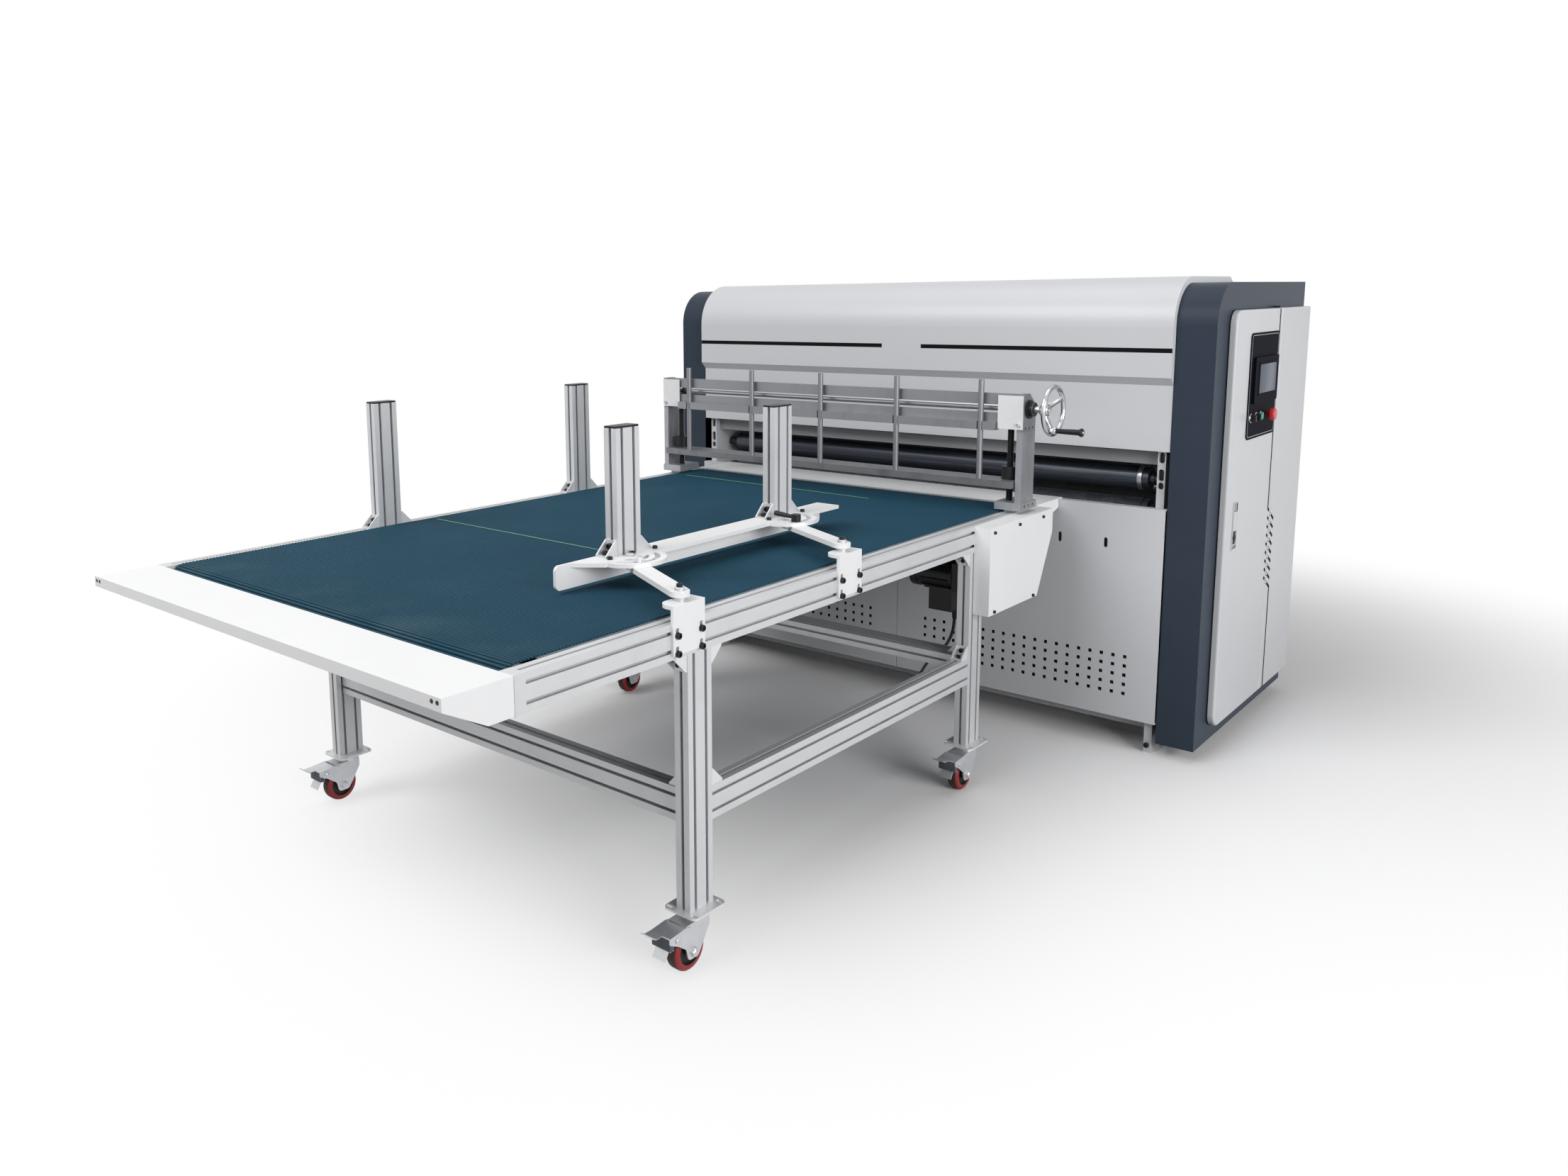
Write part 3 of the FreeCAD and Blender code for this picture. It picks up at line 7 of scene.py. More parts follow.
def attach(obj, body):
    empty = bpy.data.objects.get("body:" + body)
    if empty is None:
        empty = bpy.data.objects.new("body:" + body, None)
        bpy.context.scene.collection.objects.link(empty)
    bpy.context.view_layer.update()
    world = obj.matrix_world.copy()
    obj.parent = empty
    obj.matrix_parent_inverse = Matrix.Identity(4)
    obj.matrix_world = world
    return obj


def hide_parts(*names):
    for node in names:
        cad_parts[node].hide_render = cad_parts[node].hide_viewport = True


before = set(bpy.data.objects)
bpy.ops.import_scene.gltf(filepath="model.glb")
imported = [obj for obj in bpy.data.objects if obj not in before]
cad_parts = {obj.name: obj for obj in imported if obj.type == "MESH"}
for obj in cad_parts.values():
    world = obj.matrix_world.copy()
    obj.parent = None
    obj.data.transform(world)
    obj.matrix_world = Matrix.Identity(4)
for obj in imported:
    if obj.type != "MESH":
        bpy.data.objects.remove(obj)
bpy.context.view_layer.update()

# Studio: a pale floor that keeps the machine's shadow and fades into a white surround, and three
# broad soft lamps. The camera stands at eye height off the table's right front corner.
def seen_directly(nodes, links):
    """Output that is 1 for camera, mirror and transmission rays and 0 for the light they gather."""
    path = nodes.new("ShaderNodeLightPath")
    total = path.outputs["Is Camera Ray"]
    for name in ("Is Glossy Ray", "Is Transmission Ray"):
        larger = nodes.new("ShaderNodeMath")
        larger.operation = "MAXIMUM"
        links.new(total, larger.inputs[0])
        links.new(path.outputs[name], larger.inputs[1])
        total = larger.outputs[0]
    return total


floor_paint = bpy.data.materials.new("studio_floor")
floor_paint.use_nodes = True
nodes = floor_paint.node_tree.nodes
links = floor_paint.node_tree.links
seen = seen_directly(nodes, links)
plain = nodes["Principled BSDF"]
plain.inputs["Roughness"].default_value = 0.9
plain.inputs["Specular IOR Level"].default_value = 0.1
tone = nodes.new("ShaderNodeMix")
tone.data_type = "RGBA"
tone.inputs["A"].default_value = (0.29, 0.29, 0.295, 1)
tone.inputs["B"].default_value = (0.88, 0.88, 0.885, 1)
links.new(seen, tone.inputs["Factor"])
links.new(tone.outputs["Result"], plain.inputs["Base Color"])
glow = nodes.new("ShaderNodeEmission")
glow.inputs["Color"].default_value = (1, 1, 1, 1)
where = nodes.new("ShaderNodeTexCoord")
reach = nodes.new("ShaderNodeVectorMath")
reach.operation = "DISTANCE"
reach.inputs[1].default_value = (0, 1.3, 0)      # under the press the floor stays dark
links.new(where.outputs["Object"], reach.inputs[0])
fade = nodes.new("ShaderNodeMapRange")
fade.interpolation_type = "SMOOTHSTEP"
fade.inputs["From Min"].default_value = 1.2
fade.inputs["From Max"].default_value = 3.3
links.new(reach.outputs["Value"], fade.inputs["Value"])
share = nodes.new("ShaderNodeMath")
share.operation = "MULTIPLY"
links.new(seen, share.inputs[0])
links.new(fade.outputs["Result"], share.inputs[1])
blend = nodes.new("ShaderNodeMixShader")
links.new(share.outputs[0], blend.inputs["Fac"])
links.new(plain.outputs["BSDF"], blend.inputs[1])
links.new(glow.outputs["Emission"], blend.inputs[2])
links.new(blend.outputs["Shader"], nodes["Material Output"].inputs["Surface"])
floor_bm = bmesh.new()
bmesh.ops.create_grid(floor_bm, x_segments=1, y_segments=1, size=40)
floor_mesh = bpy.data.meshes.new("floor")
floor_bm.to_mesh(floor_mesh)
floor_bm.free()
floor_mesh.materials.append(floor_paint)
floor = bpy.data.objects.new("floor", floor_mesh)
bpy.context.scene.collection.objects.link(floor)

world = bpy.data.worlds.new("studio")
bpy.context.scene.world = world
world.use_nodes = True
nodes = world.node_tree.nodes
links = world.node_tree.links
level = nodes.new("ShaderNodeMapRange")
level.inputs["To Min"].default_value = 0.21
level.inputs["To Max"].default_value = 1.0
links.new(seen_directly(nodes, links), level.inputs["Value"])
nodes["Background"].inputs["Color"].default_value = (1, 1, 1, 1)
links.new(level.outputs[0], nodes["Background"].inputs["Strength"])


def soft_lamp(name, place, target, size, power):
    lamp = bpy.data.lights.new(name, "AREA")
    lamp.shape = "RECTANGLE"
    lamp.size = size
    lamp.size_y = size * 0.6
    lamp.energy = power
    obj = bpy.data.objects.new(name, lamp)
    obj.location = place
    obj.rotation_euler = (Vector(target) - Vector(place)).to_track_quat("-Z", "Y").to_euler()
    bpy.context.scene.collection.objects.link(obj)


soft_lamp("key_lamp", (-1.5, -4.5, 5.0), (0, 0, 0.7), 4.5, 270)
soft_lamp("fill_lamp", (6.0, -1.4, 2.2), (0.4, 0.4, 0.6), 4.0, 285)
soft_lamp("top_lamp", (0, 0.5, 6.0), (0, 0.3, 0), 5.0, 70)

YAW = math.radians(42.56)
PITCH = math.radians(-8.72)
ROLL = math.radians(-0.86)
EYE = (2.16092, -2.93683, 1.49637)
forward = Vector((-math.sin(YAW) * math.cos(PITCH), math.cos(YAW) * math.cos(PITCH), math.sin(PITCH)))
right = Vector((math.cos(YAW), math.sin(YAW), 0))
up = right.cross(forward)
camera = bpy.data.cameras.new("camera")
camera.sensor_width = 36
camera.lens = 26.756
camera.shift_x = 0.0853
camera.shift_y = -0.0715
eye = bpy.data.objects.new("camera", camera)
across = right * math.cos(ROLL) + up * math.sin(ROLL)
high = up * math.cos(ROLL) - right * math.sin(ROLL)
turn = Matrix((across, high, -forward)).transposed().to_4x4()
eye.matrix_world = Matrix.Translation(EYE) @ turn
bpy.context.scene.collection.objects.link(eye)
bpy.context.scene.camera = eye
bpy.context.scene.view_settings.view_transform = "Standard"


# Motor cable: black rubber-sheathed lead from the belt motor's terminal box, hanging in a
# slack line and passing under the front panel to the press's tie beam; a screwed gland grips it.
def surface(name, colour, rough, metal=0.0, drift=0.05, grain=650, relief=0.08, stretch=(1, 1, 1), stain=None,
            shine=0.5):
    """Finish whose colour drifts over some 300 mm, with a fine grain in its gloss and relief.

    stain is (colour, share, scale) of patches laid over the base colour; shine is its clear gloss.
    """
    mat = bpy.data.materials.new(name)
    mat.use_nodes = True
    nodes = mat.node_tree.nodes
    links = mat.node_tree.links
    shader = nodes["Principled BSDF"]
    shader.inputs["Metallic"].default_value = metal
    shader.inputs["Specular IOR Level"].default_value = shine
    coord = nodes.new("ShaderNodeTexCoord")
    cloud = nodes.new("ShaderNodeTexNoise")
    cloud.inputs["Scale"].default_value = 3.2
    cloud.inputs["Detail"].default_value = 6
    links.new(coord.outputs["Object"], cloud.inputs["Vector"])
    tint = nodes.new("ShaderNodeMix")
    tint.data_type = "RGBA"
    tint.inputs["A"].default_value = (*[c * (1 - drift) for c in colour], 1)
    tint.inputs["B"].default_value = (*[min(1, c * (1 + drift)) for c in colour], 1)
    links.new(cloud.outputs["Fac"], tint.inputs["Factor"])
    skin = tint
    place = nodes.new("ShaderNodeMapping")
    place.inputs["Scale"].default_value = stretch
    links.new(coord.outputs["Object"], place.inputs["Vector"])
    if stain:
        patch = nodes.new("ShaderNodeTexNoise")
        patch.inputs["Scale"].default_value = stain[2]
        patch.inputs["Detail"].default_value = 8
        patch.inputs["Roughness"].default_value = 0.65
        links.new(place.outputs["Vector"], patch.inputs["Vector"])
        cover = nodes.new("ShaderNodeMapRange")
        cover.inputs["From Min"].default_value = 0.5
        cover.inputs["From Max"].default_value = 0.75
        cover.inputs["To Max"].default_value = stain[1]
        links.new(patch.outputs["Fac"], cover.inputs["Value"])
        skin = nodes.new("ShaderNodeMix")
        skin.data_type = "RGBA"
        skin.inputs["B"].default_value = (*stain[0], 1)
        links.new(tint.outputs["Result"], skin.inputs["A"])
        links.new(cover.outputs["Result"], skin.inputs["Factor"])
    links.new(skin.outputs["Result"], shader.inputs["Base Color"])
    fine = nodes.new("ShaderNodeTexNoise")
    fine.inputs["Scale"].default_value = grain
    fine.inputs["Detail"].default_value = 3
    links.new(place.outputs["Vector"], fine.inputs["Vector"])
    gloss = nodes.new("ShaderNodeMapRange")
    gloss.inputs["To Min"].default_value = max(0.02, rough - 0.07)
    gloss.inputs["To Max"].default_value = min(1, rough + 0.07)
    links.new(fine.outputs["Fac"], gloss.inputs["Value"])
    links.new(gloss.outputs["Result"], shader.inputs["Roughness"])
    bump = nodes.new("ShaderNodeBump")
    bump.inputs["Strength"].default_value = relief
    bump.inputs["Distance"].default_value = 0.0006
    links.new(fine.outputs["Fac"], bump.inputs["Height"])
    links.new(bump.outputs["Normal"], shader.inputs["Normal"])
    return mat


def dress(mat, *names):
    """Give a CAD node's solid its finish."""
    for name in names:
        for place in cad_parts[name].material_slots:
            place.material = mat


def piece(name, bm, mats, body, angle=35):
    """Turn a finished bmesh into an object that moves with a body."""
    mesh = bpy.data.meshes.new(name)
    bm.to_mesh(mesh)
    bm.free()
    mesh.polygons.foreach_set("use_smooth", [True] * len(mesh.polygons))
    mesh.set_sharp_from_angle(angle=math.radians(angle))
    for mat in mats if isinstance(mats, list) else [mats]:
        mesh.materials.append(mat)
    obj = bpy.data.objects.new(name, mesh)
    bpy.context.scene.collection.objects.link(obj)
    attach(obj, body)
    return obj


ZERO = Vector((0.1315, 1.569, 0.0))     # model zero, from the table's centre line and rail front


def at(x, y, z):
    """A point given in millimetres from the table's centre line, rail front and floor."""
    return Vector((x, y, z)) / 1000 - ZERO


def lathe(bm, profile, centre, axis, steps=32, angle=math.tau, rise=0.0):
    """Spin a profile of (radius, distance) millimetres about an axis through centre; its faces.

    With a rise the profile climbs that far along the axis, and its two ends are closed.
    """
    axis = Vector(axis).normalized()
    out = axis.orthogonal().normalized()
    old = set(bm.faces)
    ring = [bm.verts.new(centre + (axis * t + out * r) / 1000) for r, t in profile]
    edges = [bm.edges.new(pair) for pair in zip(ring, ring[1:])]
    bmesh.ops.spin(bm, geom=ring + edges, cent=centre, axis=axis, dvec=axis * rise / 1000 / steps,
                   angle=angle, steps=steps, use_merge=rise == 0)
    fresh = [v for v in bm.verts if not all(f in old for f in v.link_faces)]
    bmesh.ops.remove_doubles(bm, verts=fresh, dist=1e-6)
    if rise:
        ends = {e for f in bm.faces if f not in old for e in f.edges if e.is_boundary}
        bmesh.ops.holes_fill(bm, edges=list(ends), sides=0)
    made = [f for f in bm.faces if f not in old]
    bmesh.ops.recalc_face_normals(bm, faces=made)
    return made


CABLE_EXIT = Vector((591, 1890, 512))
CABLE_STEPS = [(0, 0, 0), (-2, 2, -54), (-39, 44, -116), (-103, 118, -176), (-173, 196, -228),
               (-247, 282, -290), (-313, 366, -354), (-369, 446, -404), (-391, 514, -428), (-395, 560, -430)]
cable_rubber = surface("cable_rubber", (0.012, 0.012, 0.013), 0.5, drift=0.1, grain=900, relief=0.15,
                       shine=0.25)
cable_curve = bpy.data.curves.new("cable", "CURVE")
cable_curve.dimensions = "3D"
cable_curve.bevel_depth = 0.005
cable_curve.bevel_resolution = 5
cable_curve.use_fill_caps = True
line = cable_curve.splines.new("NURBS")
line.points.add(len(CABLE_STEPS) - 1)
for point, step in zip(line.points, CABLE_STEPS):
    point.co = (*at(*(CABLE_EXIT + Vector(step))), 1)
line.order_u = 3
line.use_endpoint_u = True
line.resolution_u = 10
cable_curve.materials.append(cable_rubber)
cable = bpy.data.objects.new("cable", cable_curve)
bpy.context.scene.collection.objects.link(cable)
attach(cable, "machine")
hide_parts("motor_cable")
gland_bm = bmesh.new()
lathe(gland_bm, [(0, 0), (11, 0), (11, 8), (8.5, 9), (8.5, 20), (6.2, 30), (5.2, 31), (0, 31)],
      at(*CABLE_EXIT), Vector(CABLE_STEPS[1]), 24)
piece("cable_gland", gland_bm, cable_rubber, "machine")


# Table frame: rails, legs, stretchers and posts of extruded aluminium, natural anodised, with
# black plastic caps pressed into the posts' tops.
MODULE = 40
RAIL_X = 714
RAIL_TOP = 815
RAIL_LOW = RAIL_TOP - 2 * MODULE
RAIL_IN = RAIL_X - MODULE
LEGS_Y = (461, 1743)
STRETCHER_TOP = 414
POST_TOP = 1192
LEFT_POSTS_Y = (642, 1464)
anodised = surface("anodised", (0.62, 0.63, 0.645), 0.38, 0.4, 0.03, 300, 0.05,
                   stain=((0.50, 0.505, 0.515), 0.35, 9), shine=0.3)
black_plastic = surface("black_plastic", (0.012, 0.012, 0.014), 0.38, drift=0.1, grain=900, relief=0.1,
                        shine=0.25)
dress(anodised, "table_rails", "leg_frame", "left_posts", "guide_posts")


def soften(bm, made, edge, segments=2):
    """Round every edge of a box just made, by edge millimetres."""
    edges = {e for v in made["verts"] for e in v.link_edges}
    bmesh.ops.bevel(bm, geom=list(edges), offset=edge / 1000, segments=segments, profile=0.5,
                    affect="EDGES", material=-1)


def block(bm, low, high, edge, segments=2):
    """Block between two corners in drawing millimetres, its edges rounded."""
    a = at(*low)
    b = at(*high)
    size = Matrix.Diagonal((*(b - a), 1))
    made = bmesh.ops.create_cube(bm, size=1, matrix=Matrix.Translation((a + b) / 2) @ size)
    soften(bm, made, edge, segments)


cap_bm = bmesh.new()
for y in LEFT_POSTS_Y:
    block(cap_bm, (-RAIL_X, y, POST_TOP), (-RAIL_IN, y + 2 * MODULE, POST_TOP + 5), 2)
piece("left_post_caps", cap_bm, black_plastic, "machine")


# Corner brackets: blasted castings in the frame's corners, each held by two black socket screws;
# the casters' top plates are zinc plated steel of the same node.
cast_metal = surface("cast_metal", (0.70, 0.705, 0.715), 0.45, 0.4, 0.06, 900, 0.15, shine=0.4)
black_steel = surface("black_steel", (0.018, 0.018, 0.02), 0.42, 0.3, 0.1, 900, 0.1, shine=0.3)
dress(cast_metal, "frame_fittings")


def screw(bm, place, axis, r):
    """Socket cap screw of head radius r, its face away from place along axis."""
    h = 1.1 * r
    lathe(bm, [(0, -0.5), (r, -0.5), (r, h - 0.15 * r), (0.85 * r, h), (0.55 * r, h), (0.5 * r, 0.5 * h),
               (0, 0.5 * h)], place, axis, 18)


def bracket_screws(bm, x, y, z, angle, rise=1, r=6.5):
    """The two screws of a bracket whose wall stands at y before it is turned about Z."""
    spin = Matrix.Rotation(math.radians(angle), 3, "Z")
    for arm, axis in (((0, 23, 5 * rise), (0, 0, rise)), ((0, 5, 23 * rise), (0, 1, 0))):
        spot = spin @ Vector(arm)
        screw(bm, at(x + spot.x, y + spot.y, z + spot.z), spin @ Vector(axis), r)


screw_bm = bmesh.new()
for side in (-1, 1):
    leg_x = side * (RAIL_X - MODULE / 2)
    front, rear = LEGS_Y
    behind = front + 2 * MODULE
    for y, z, angle, rise in ((front, RAIL_LOW, 180, -1), (behind, RAIL_LOW, 0, -1),
                              (rear, RAIL_LOW, 180, -1), (behind, STRETCHER_TOP, 0, 1),
                              (rear, STRETCHER_TOP, 180, 1)):
        bracket_screws(screw_bm, leg_x, y, z, angle, rise)
    for y in LEGS_Y:
        bracket_screws(screw_bm, side * RAIL_IN, y + MODULE, STRETCHER_TOP, side * 90)
for y in LEFT_POSTS_Y:
    bracket_screws(screw_bm, -RAIL_X + MODULE / 2, y, RAIL_TOP, 180)
    bracket_screws(screw_bm, -RAIL_X + MODULE / 2, y + 2 * MODULE, RAIL_TOP, 0)
piece("frame_screws", screw_bm, black_steel, "machine")


# Casters: zinc plated pressed forks, wheels with a red polyurethane tyre worn brown on its tread
# round a dark iron core, and brake hoods with a grey moulded block, riveted at their pin.
zinc = surface("zinc", (0.60, 0.61, 0.63), 0.34, 0.7, 0.08, 500, 0.08, stain=((0.42, 0.43, 0.44), 0.45, 30))
tread = surface("tread", (0.045, 0.022, 0.018), 0.6, drift=0.2, grain=500, relief=0.2, shine=0.3)
red_tyre = surface("red_tyre", (0.24, 0.018, 0.018), 0.42, drift=0.12, grain=500, relief=0.1, shine=0.4)
iron = surface("iron", (0.02, 0.02, 0.021), 0.55, 0.3, 0.2, 500, 0.2, shine=0.3)
grey_block = surface("grey_block", (0.07, 0.08, 0.095), 0.5, drift=0.1, grain=700, relief=0.1, shine=0.3)
WHEEL_R = 50
TREAD_R = 48.5
CORE_R = 34.5
TRAIL = 36
PEDAL_PIN = (-94, 102)
CASTER_BOSS = 128
WHEEL_HALF = [(5.2, 21), (13, 21), (14, 20), (15, 10), (33, 9), (35, 16.5), (40, 17), (46, 15.5), (49.2, 12),
              (WHEEL_R, 9)]
wheel_profile = [(r, -t) for r, t in WHEEL_HALF] + WHEEL_HALF[::-1] + [(5.2, -21)]
corners = {"front_right": (1, 0), "front_left": (-1, 0), "rear_right": (1, 1), "rear_left": (-1, 1)}
for corner, (side, row) in corners.items():
    x = side * (RAIL_X - MODULE / 2)
    y = LEGS_Y[row] + MODULE
    dress(zinc, "caster_fork_" + corner, "caster_pedal_" + corner)
    axle = at(x, y - TRAIL, WHEEL_R)
    wheel_bm = bmesh.new()
    for face in lathe(wheel_bm, wheel_profile, axle, (1, 0, 0), 56):
        away = (face.calc_center_median() - axle).yz.length * 1000
        face.material_index = 0 if away > TREAD_R else 1 if away > CORE_R else 2
    wheel = piece("wheel_" + corner, wheel_bm, [tread, red_tyre, iron], "roll_" + corner)
    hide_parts("caster_wheel_" + corner)
    nut_bm = bmesh.new()
    for end in (-1, 1):
        lathe(nut_bm, [(0, 26), (11, 26), (11, 33.2), (9.5, 34.6), (5.5, 34.6), (5, 36), (0, 36)],
              axle, (end, 0, 0), 6)
    piece("axle_nuts_" + corner, nut_bm, zinc, "fork_" + corner, 20)
    brake_bm = bmesh.new()
    block(brake_bm, (x - 28, y - 116.7, 81.4), (x + 28, y - 103.4, 112.4), 2.5)
    piece("brake_block_" + corner, brake_bm, grey_block, "pedal_" + corner)
    rivet_bm = bmesh.new()
    for end in (-1, 1):
        lathe(rivet_bm, [(0, 30), (6.5, 30), (6.2, 31.4), (4, 32.6), (0, 33)],
              at(x, y + PEDAL_PIN[0], PEDAL_PIN[1]), (end, 0, 0), 20)
    piece("pedal_rivets_" + corner, rivet_bm, zinc, "fork_" + corner)
    seal_bm = bmesh.new()
    lathe(seal_bm, [(27, 0.4), (30.6, 0.4), (31, 1.2), (30, 5.5), (27, 6), (27, 0.4)],
          at(x, y, CASTER_BOSS), (0, 0, 1))
    piece("swivel_seal_" + corner, seal_bm, iron, "machine")


# Belt bed and rollers: a zinc-bright steel sheet on cross bars, with turned steel drums at both
# ends of the table.
ground_steel = surface("ground_steel", (0.50, 0.51, 0.53), 0.30, 0.85, 0.06, 420, 0.08, (0.05, 1, 1))
dress(ground_steel, "belt_bed", "tail_roller", "drive_roller", "motor_pulley")


# Conveyor belt: teal rubber moulded with round ribs across its width, dusty and scuffed toward the
# front; two pale green guide lines are drawn on it.
belt_rubber = surface("belt_rubber", (0.0165, 0.064, 0.103), 0.6, drift=0.1, grain=700, relief=0.2,
                      stain=((0.022, 0.078, 0.120), 0.7, 5), shine=0.06)


def zone(mat, axis, start, stop, colour, share=1.0, scale=0.0):
    """Lay a second colour over a finish, from none at start to its full share at stop of an axis.

    With a scale it comes in patches.
    """
    nodes = mat.node_tree.nodes
    links = mat.node_tree.links
    base = nodes["Principled BSDF"].inputs["Base Color"]
    coord = nodes.new("ShaderNodeTexCoord")
    split = nodes.new("ShaderNodeSeparateXYZ")
    links.new(coord.outputs["Object"], split.inputs[0])
    grow = nodes.new("ShaderNodeMapRange")
    grow.inputs["From Min"].default_value = start
    grow.inputs["From Max"].default_value = stop
    grow.inputs["To Max"].default_value = share
    links.new(split.outputs[axis], grow.inputs["Value"])
    cover = grow.outputs["Result"]
    if scale:
        patch = nodes.new("ShaderNodeTexNoise")
        patch.inputs["Scale"].default_value = scale
        patch.inputs["Detail"].default_value = 7
        links.new(coord.outputs["Object"], patch.inputs["Vector"])
        spread = nodes.new("ShaderNodeMapRange")
        spread.inputs["From Min"].default_value = 0.4
        spread.inputs["From Max"].default_value = 0.65
        links.new(patch.outputs["Fac"], spread.inputs["Value"])
        both = nodes.new("ShaderNodeMath")
        both.operation = "MULTIPLY"
        links.new(cover, both.inputs[0])
        links.new(spread.outputs["Result"], both.inputs[1])
        cover = both.outputs[0]
    over = nodes.new("ShaderNodeMix")
    over.data_type = "RGBA"
    over.inputs["B"].default_value = (*colour, 1)
    links.new(base.links[0].from_socket, over.inputs["A"])
    links.new(cover, over.inputs["Factor"])
    links.new(over.outputs["Result"], base)


BELT_HALF = 664
TAIL_Y = 22
DRIVE_Y = 2140
DRUM_Z = 777
BELT_IN = 38
BELT_OUT = 42
RIB_PITCH = 9.5
RIB_DEPTH = 2.6
# A rib's outline, as shares of its pitch and of its depth.
RIB = ((0.0, 0), (0.09, 0.5), (0.24, 0.87), (0.45, 1), (0.66, 0.87), (0.81, 0.5), (0.90, 0))
zone(belt_rubber, "Y", at(0, 190, 0).y, at(0, 30, 0).y, (0.07, 0.12, 0.145), 0.4, 5)
# Painted shade: the belt's colour darkens toward the bottom of each groove between the ribs, following the
# rib height stored on each vertex.
groove = belt_rubber.node_tree.nodes.new("ShaderNodeAttribute")
groove.attribute_name = "rib_height"
groove_shade = belt_rubber.node_tree.nodes.new("ShaderNodeMix")
groove_shade.data_type = "RGBA"
groove_shade.inputs["A"].default_value = (0.003, 0.008, 0.012, 1)
belt_links = belt_rubber.node_tree.links
belt_base = belt_rubber.node_tree.nodes["Principled BSDF"].inputs["Base Color"]
belt_links.new(belt_base.links[0].from_socket, groove_shade.inputs["B"])
belt_links.new(groove.outputs["Fac"], groove_shade.inputs["Factor"])
belt_links.new(groove_shade.outputs["Result"], belt_base)
tail = at(0, TAIL_Y, DRUM_Z)
drive = at(0, DRIVE_Y, DRUM_Z)
run = DRIVE_Y - TAIL_Y
half_turn = math.pi * BELT_OUT
lap = run + half_turn
rib_count = round(2 * lap / RIB_PITCH)
rows = rib_count * len(RIB)


def on_loop(point, r):
    """The point moved straight out from, or in to, a loop of radius r round both drums."""
    y = min(max(point.y, tail.y), drive.y)
    away = Vector((0, point.y - y, point.z - tail.z)).normalized()
    return Vector((point.x, y, tail.z)) + away * r / 1000


belt_bm = bmesh.new()
bmesh.ops.create_grid(belt_bm, x_segments=1, y_segments=rows, size=0.5)
rib_height = belt_bm.verts.layers.float.new("rib_height")
for vert in belt_bm.verts:
    rib, station = divmod(round((vert.co.y + 0.5) * rows), len(RIB))
    share, height = RIB[station]
    way, s = divmod((rib + share) * 2 * lap / rib_count, lap)
    side = 1 if way % 2 == 0 else -1
    turned = max(0, s - run) / BELT_OUT
    middle = (TAIL_Y if side > 0 else DRIVE_Y) + side * min(s, run)
    r = BELT_OUT - RIB_DEPTH * (1 - height)
    vert[rib_height] = height
    x = BELT_HALF if vert.co.x > 0 else -BELT_HALF
    vert.co = at(x, middle + side * r * math.sin(turned), DRUM_Z + side * r * math.cos(turned))
bmesh.ops.remove_doubles(belt_bm, verts=belt_bm.verts, dist=1e-6)
grown = bmesh.ops.extrude_edge_only(belt_bm, edges=[e for e in belt_bm.edges if e.is_boundary])["geom"]
for vert in (g for g in grown if isinstance(g, bmesh.types.BMVert)):
    vert.co = on_loop(vert.co, BELT_IN)
bmesh.ops.bridge_loops(belt_bm, edges=[e for e in belt_bm.edges if e.is_boundary])
bmesh.ops.recalc_face_normals(belt_bm, faces=belt_bm.faces)
belt = piece("ribbed_belt", belt_bm, belt_rubber, "machine", 55)
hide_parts("conveyor_belt")


def slat(bm, start, end, normal, wide, thick, edge=0.2):
    """Thin bar between two points in drawing millimetres, flat on a face with that normal."""
    a = at(*start)
    b = at(*end)
    along = (b - a).normalized()
    normal = Vector(normal).normalized()
    turn = Matrix((along, normal.cross(along), normal)).transposed().to_4x4()
    size = Matrix.Diagonal(((b - a).length, wide / 1000, thick / 1000, 1))
    made = bmesh.ops.create_cube(bm, size=1, matrix=Matrix.Translation((a + b) / 2) @ turn @ size)
    soften(bm, made, edge, 1)


line_paint = surface("line_paint", (0.22, 0.40, 0.22), 0.6, drift=0.1, shine=0.2,
                     stain=((0.06, 0.16, 0.14), 0.7, 22))
line_bm = bmesh.new()
for start, end in (((-631, 826), (93.5, 823.5)), ((-600, 1987), (227, 1961))):
    slat(line_bm, (*start, DRUM_Z + BELT_OUT), (*end, DRUM_Z + BELT_OUT), (0, 0, 1), 3.4, 0.8)
piece("belt_lines", line_bm, line_paint, "machine")


# Sheet covers of the table: the nose in front of the belt, the bridge to the press and the belt
# drive's box, all folded steel powder coated white and held by dark screws.
white_paint = surface("white_paint", (0.78, 0.783, 0.79), 0.42, drift=0.02, relief=0.06,
                      stain=((0.68, 0.69, 0.70), 0.2, 7), shine=0.35)
dress(white_paint, "front_end_cover", "transition_plate", "drive_cover")
COVER_X = 766
NOSE_FRONT = -192
cover_bm = bmesh.new()
for y, z in ((1787, 797), (1951, 797), (2117, 796), (2060, 554), (1796, 556)):
    screw(cover_bm, at(COVER_X, y, z), (1, 0, 0), 5)
piece("drive_cover_screws", cover_bm, black_steel, "machine")
nose_bm = bmesh.new()
for x in (-702, -686, 686, 702):
    lathe(nose_bm, [(0, -3), (4.3, -3), (4.3, 0.4), (3.4, 1.2), (0, 1.4)],
          at(x, NOSE_FRONT, 805), (0, -1, 0), 18)
piece("nose_screws", nose_bm, black_steel, "machine")


# Belt motor: a finned gear motor under the belt, bolted through its plate to the table leg.
# Its housing, gearbox and terminal box are painted satin black.
motor_paint = surface("motor_paint", (0.018, 0.018, 0.020), 0.45, 0.0, 0.15, 500, 0.15, shine=0.3)
dress(motor_paint, "belt_motor")
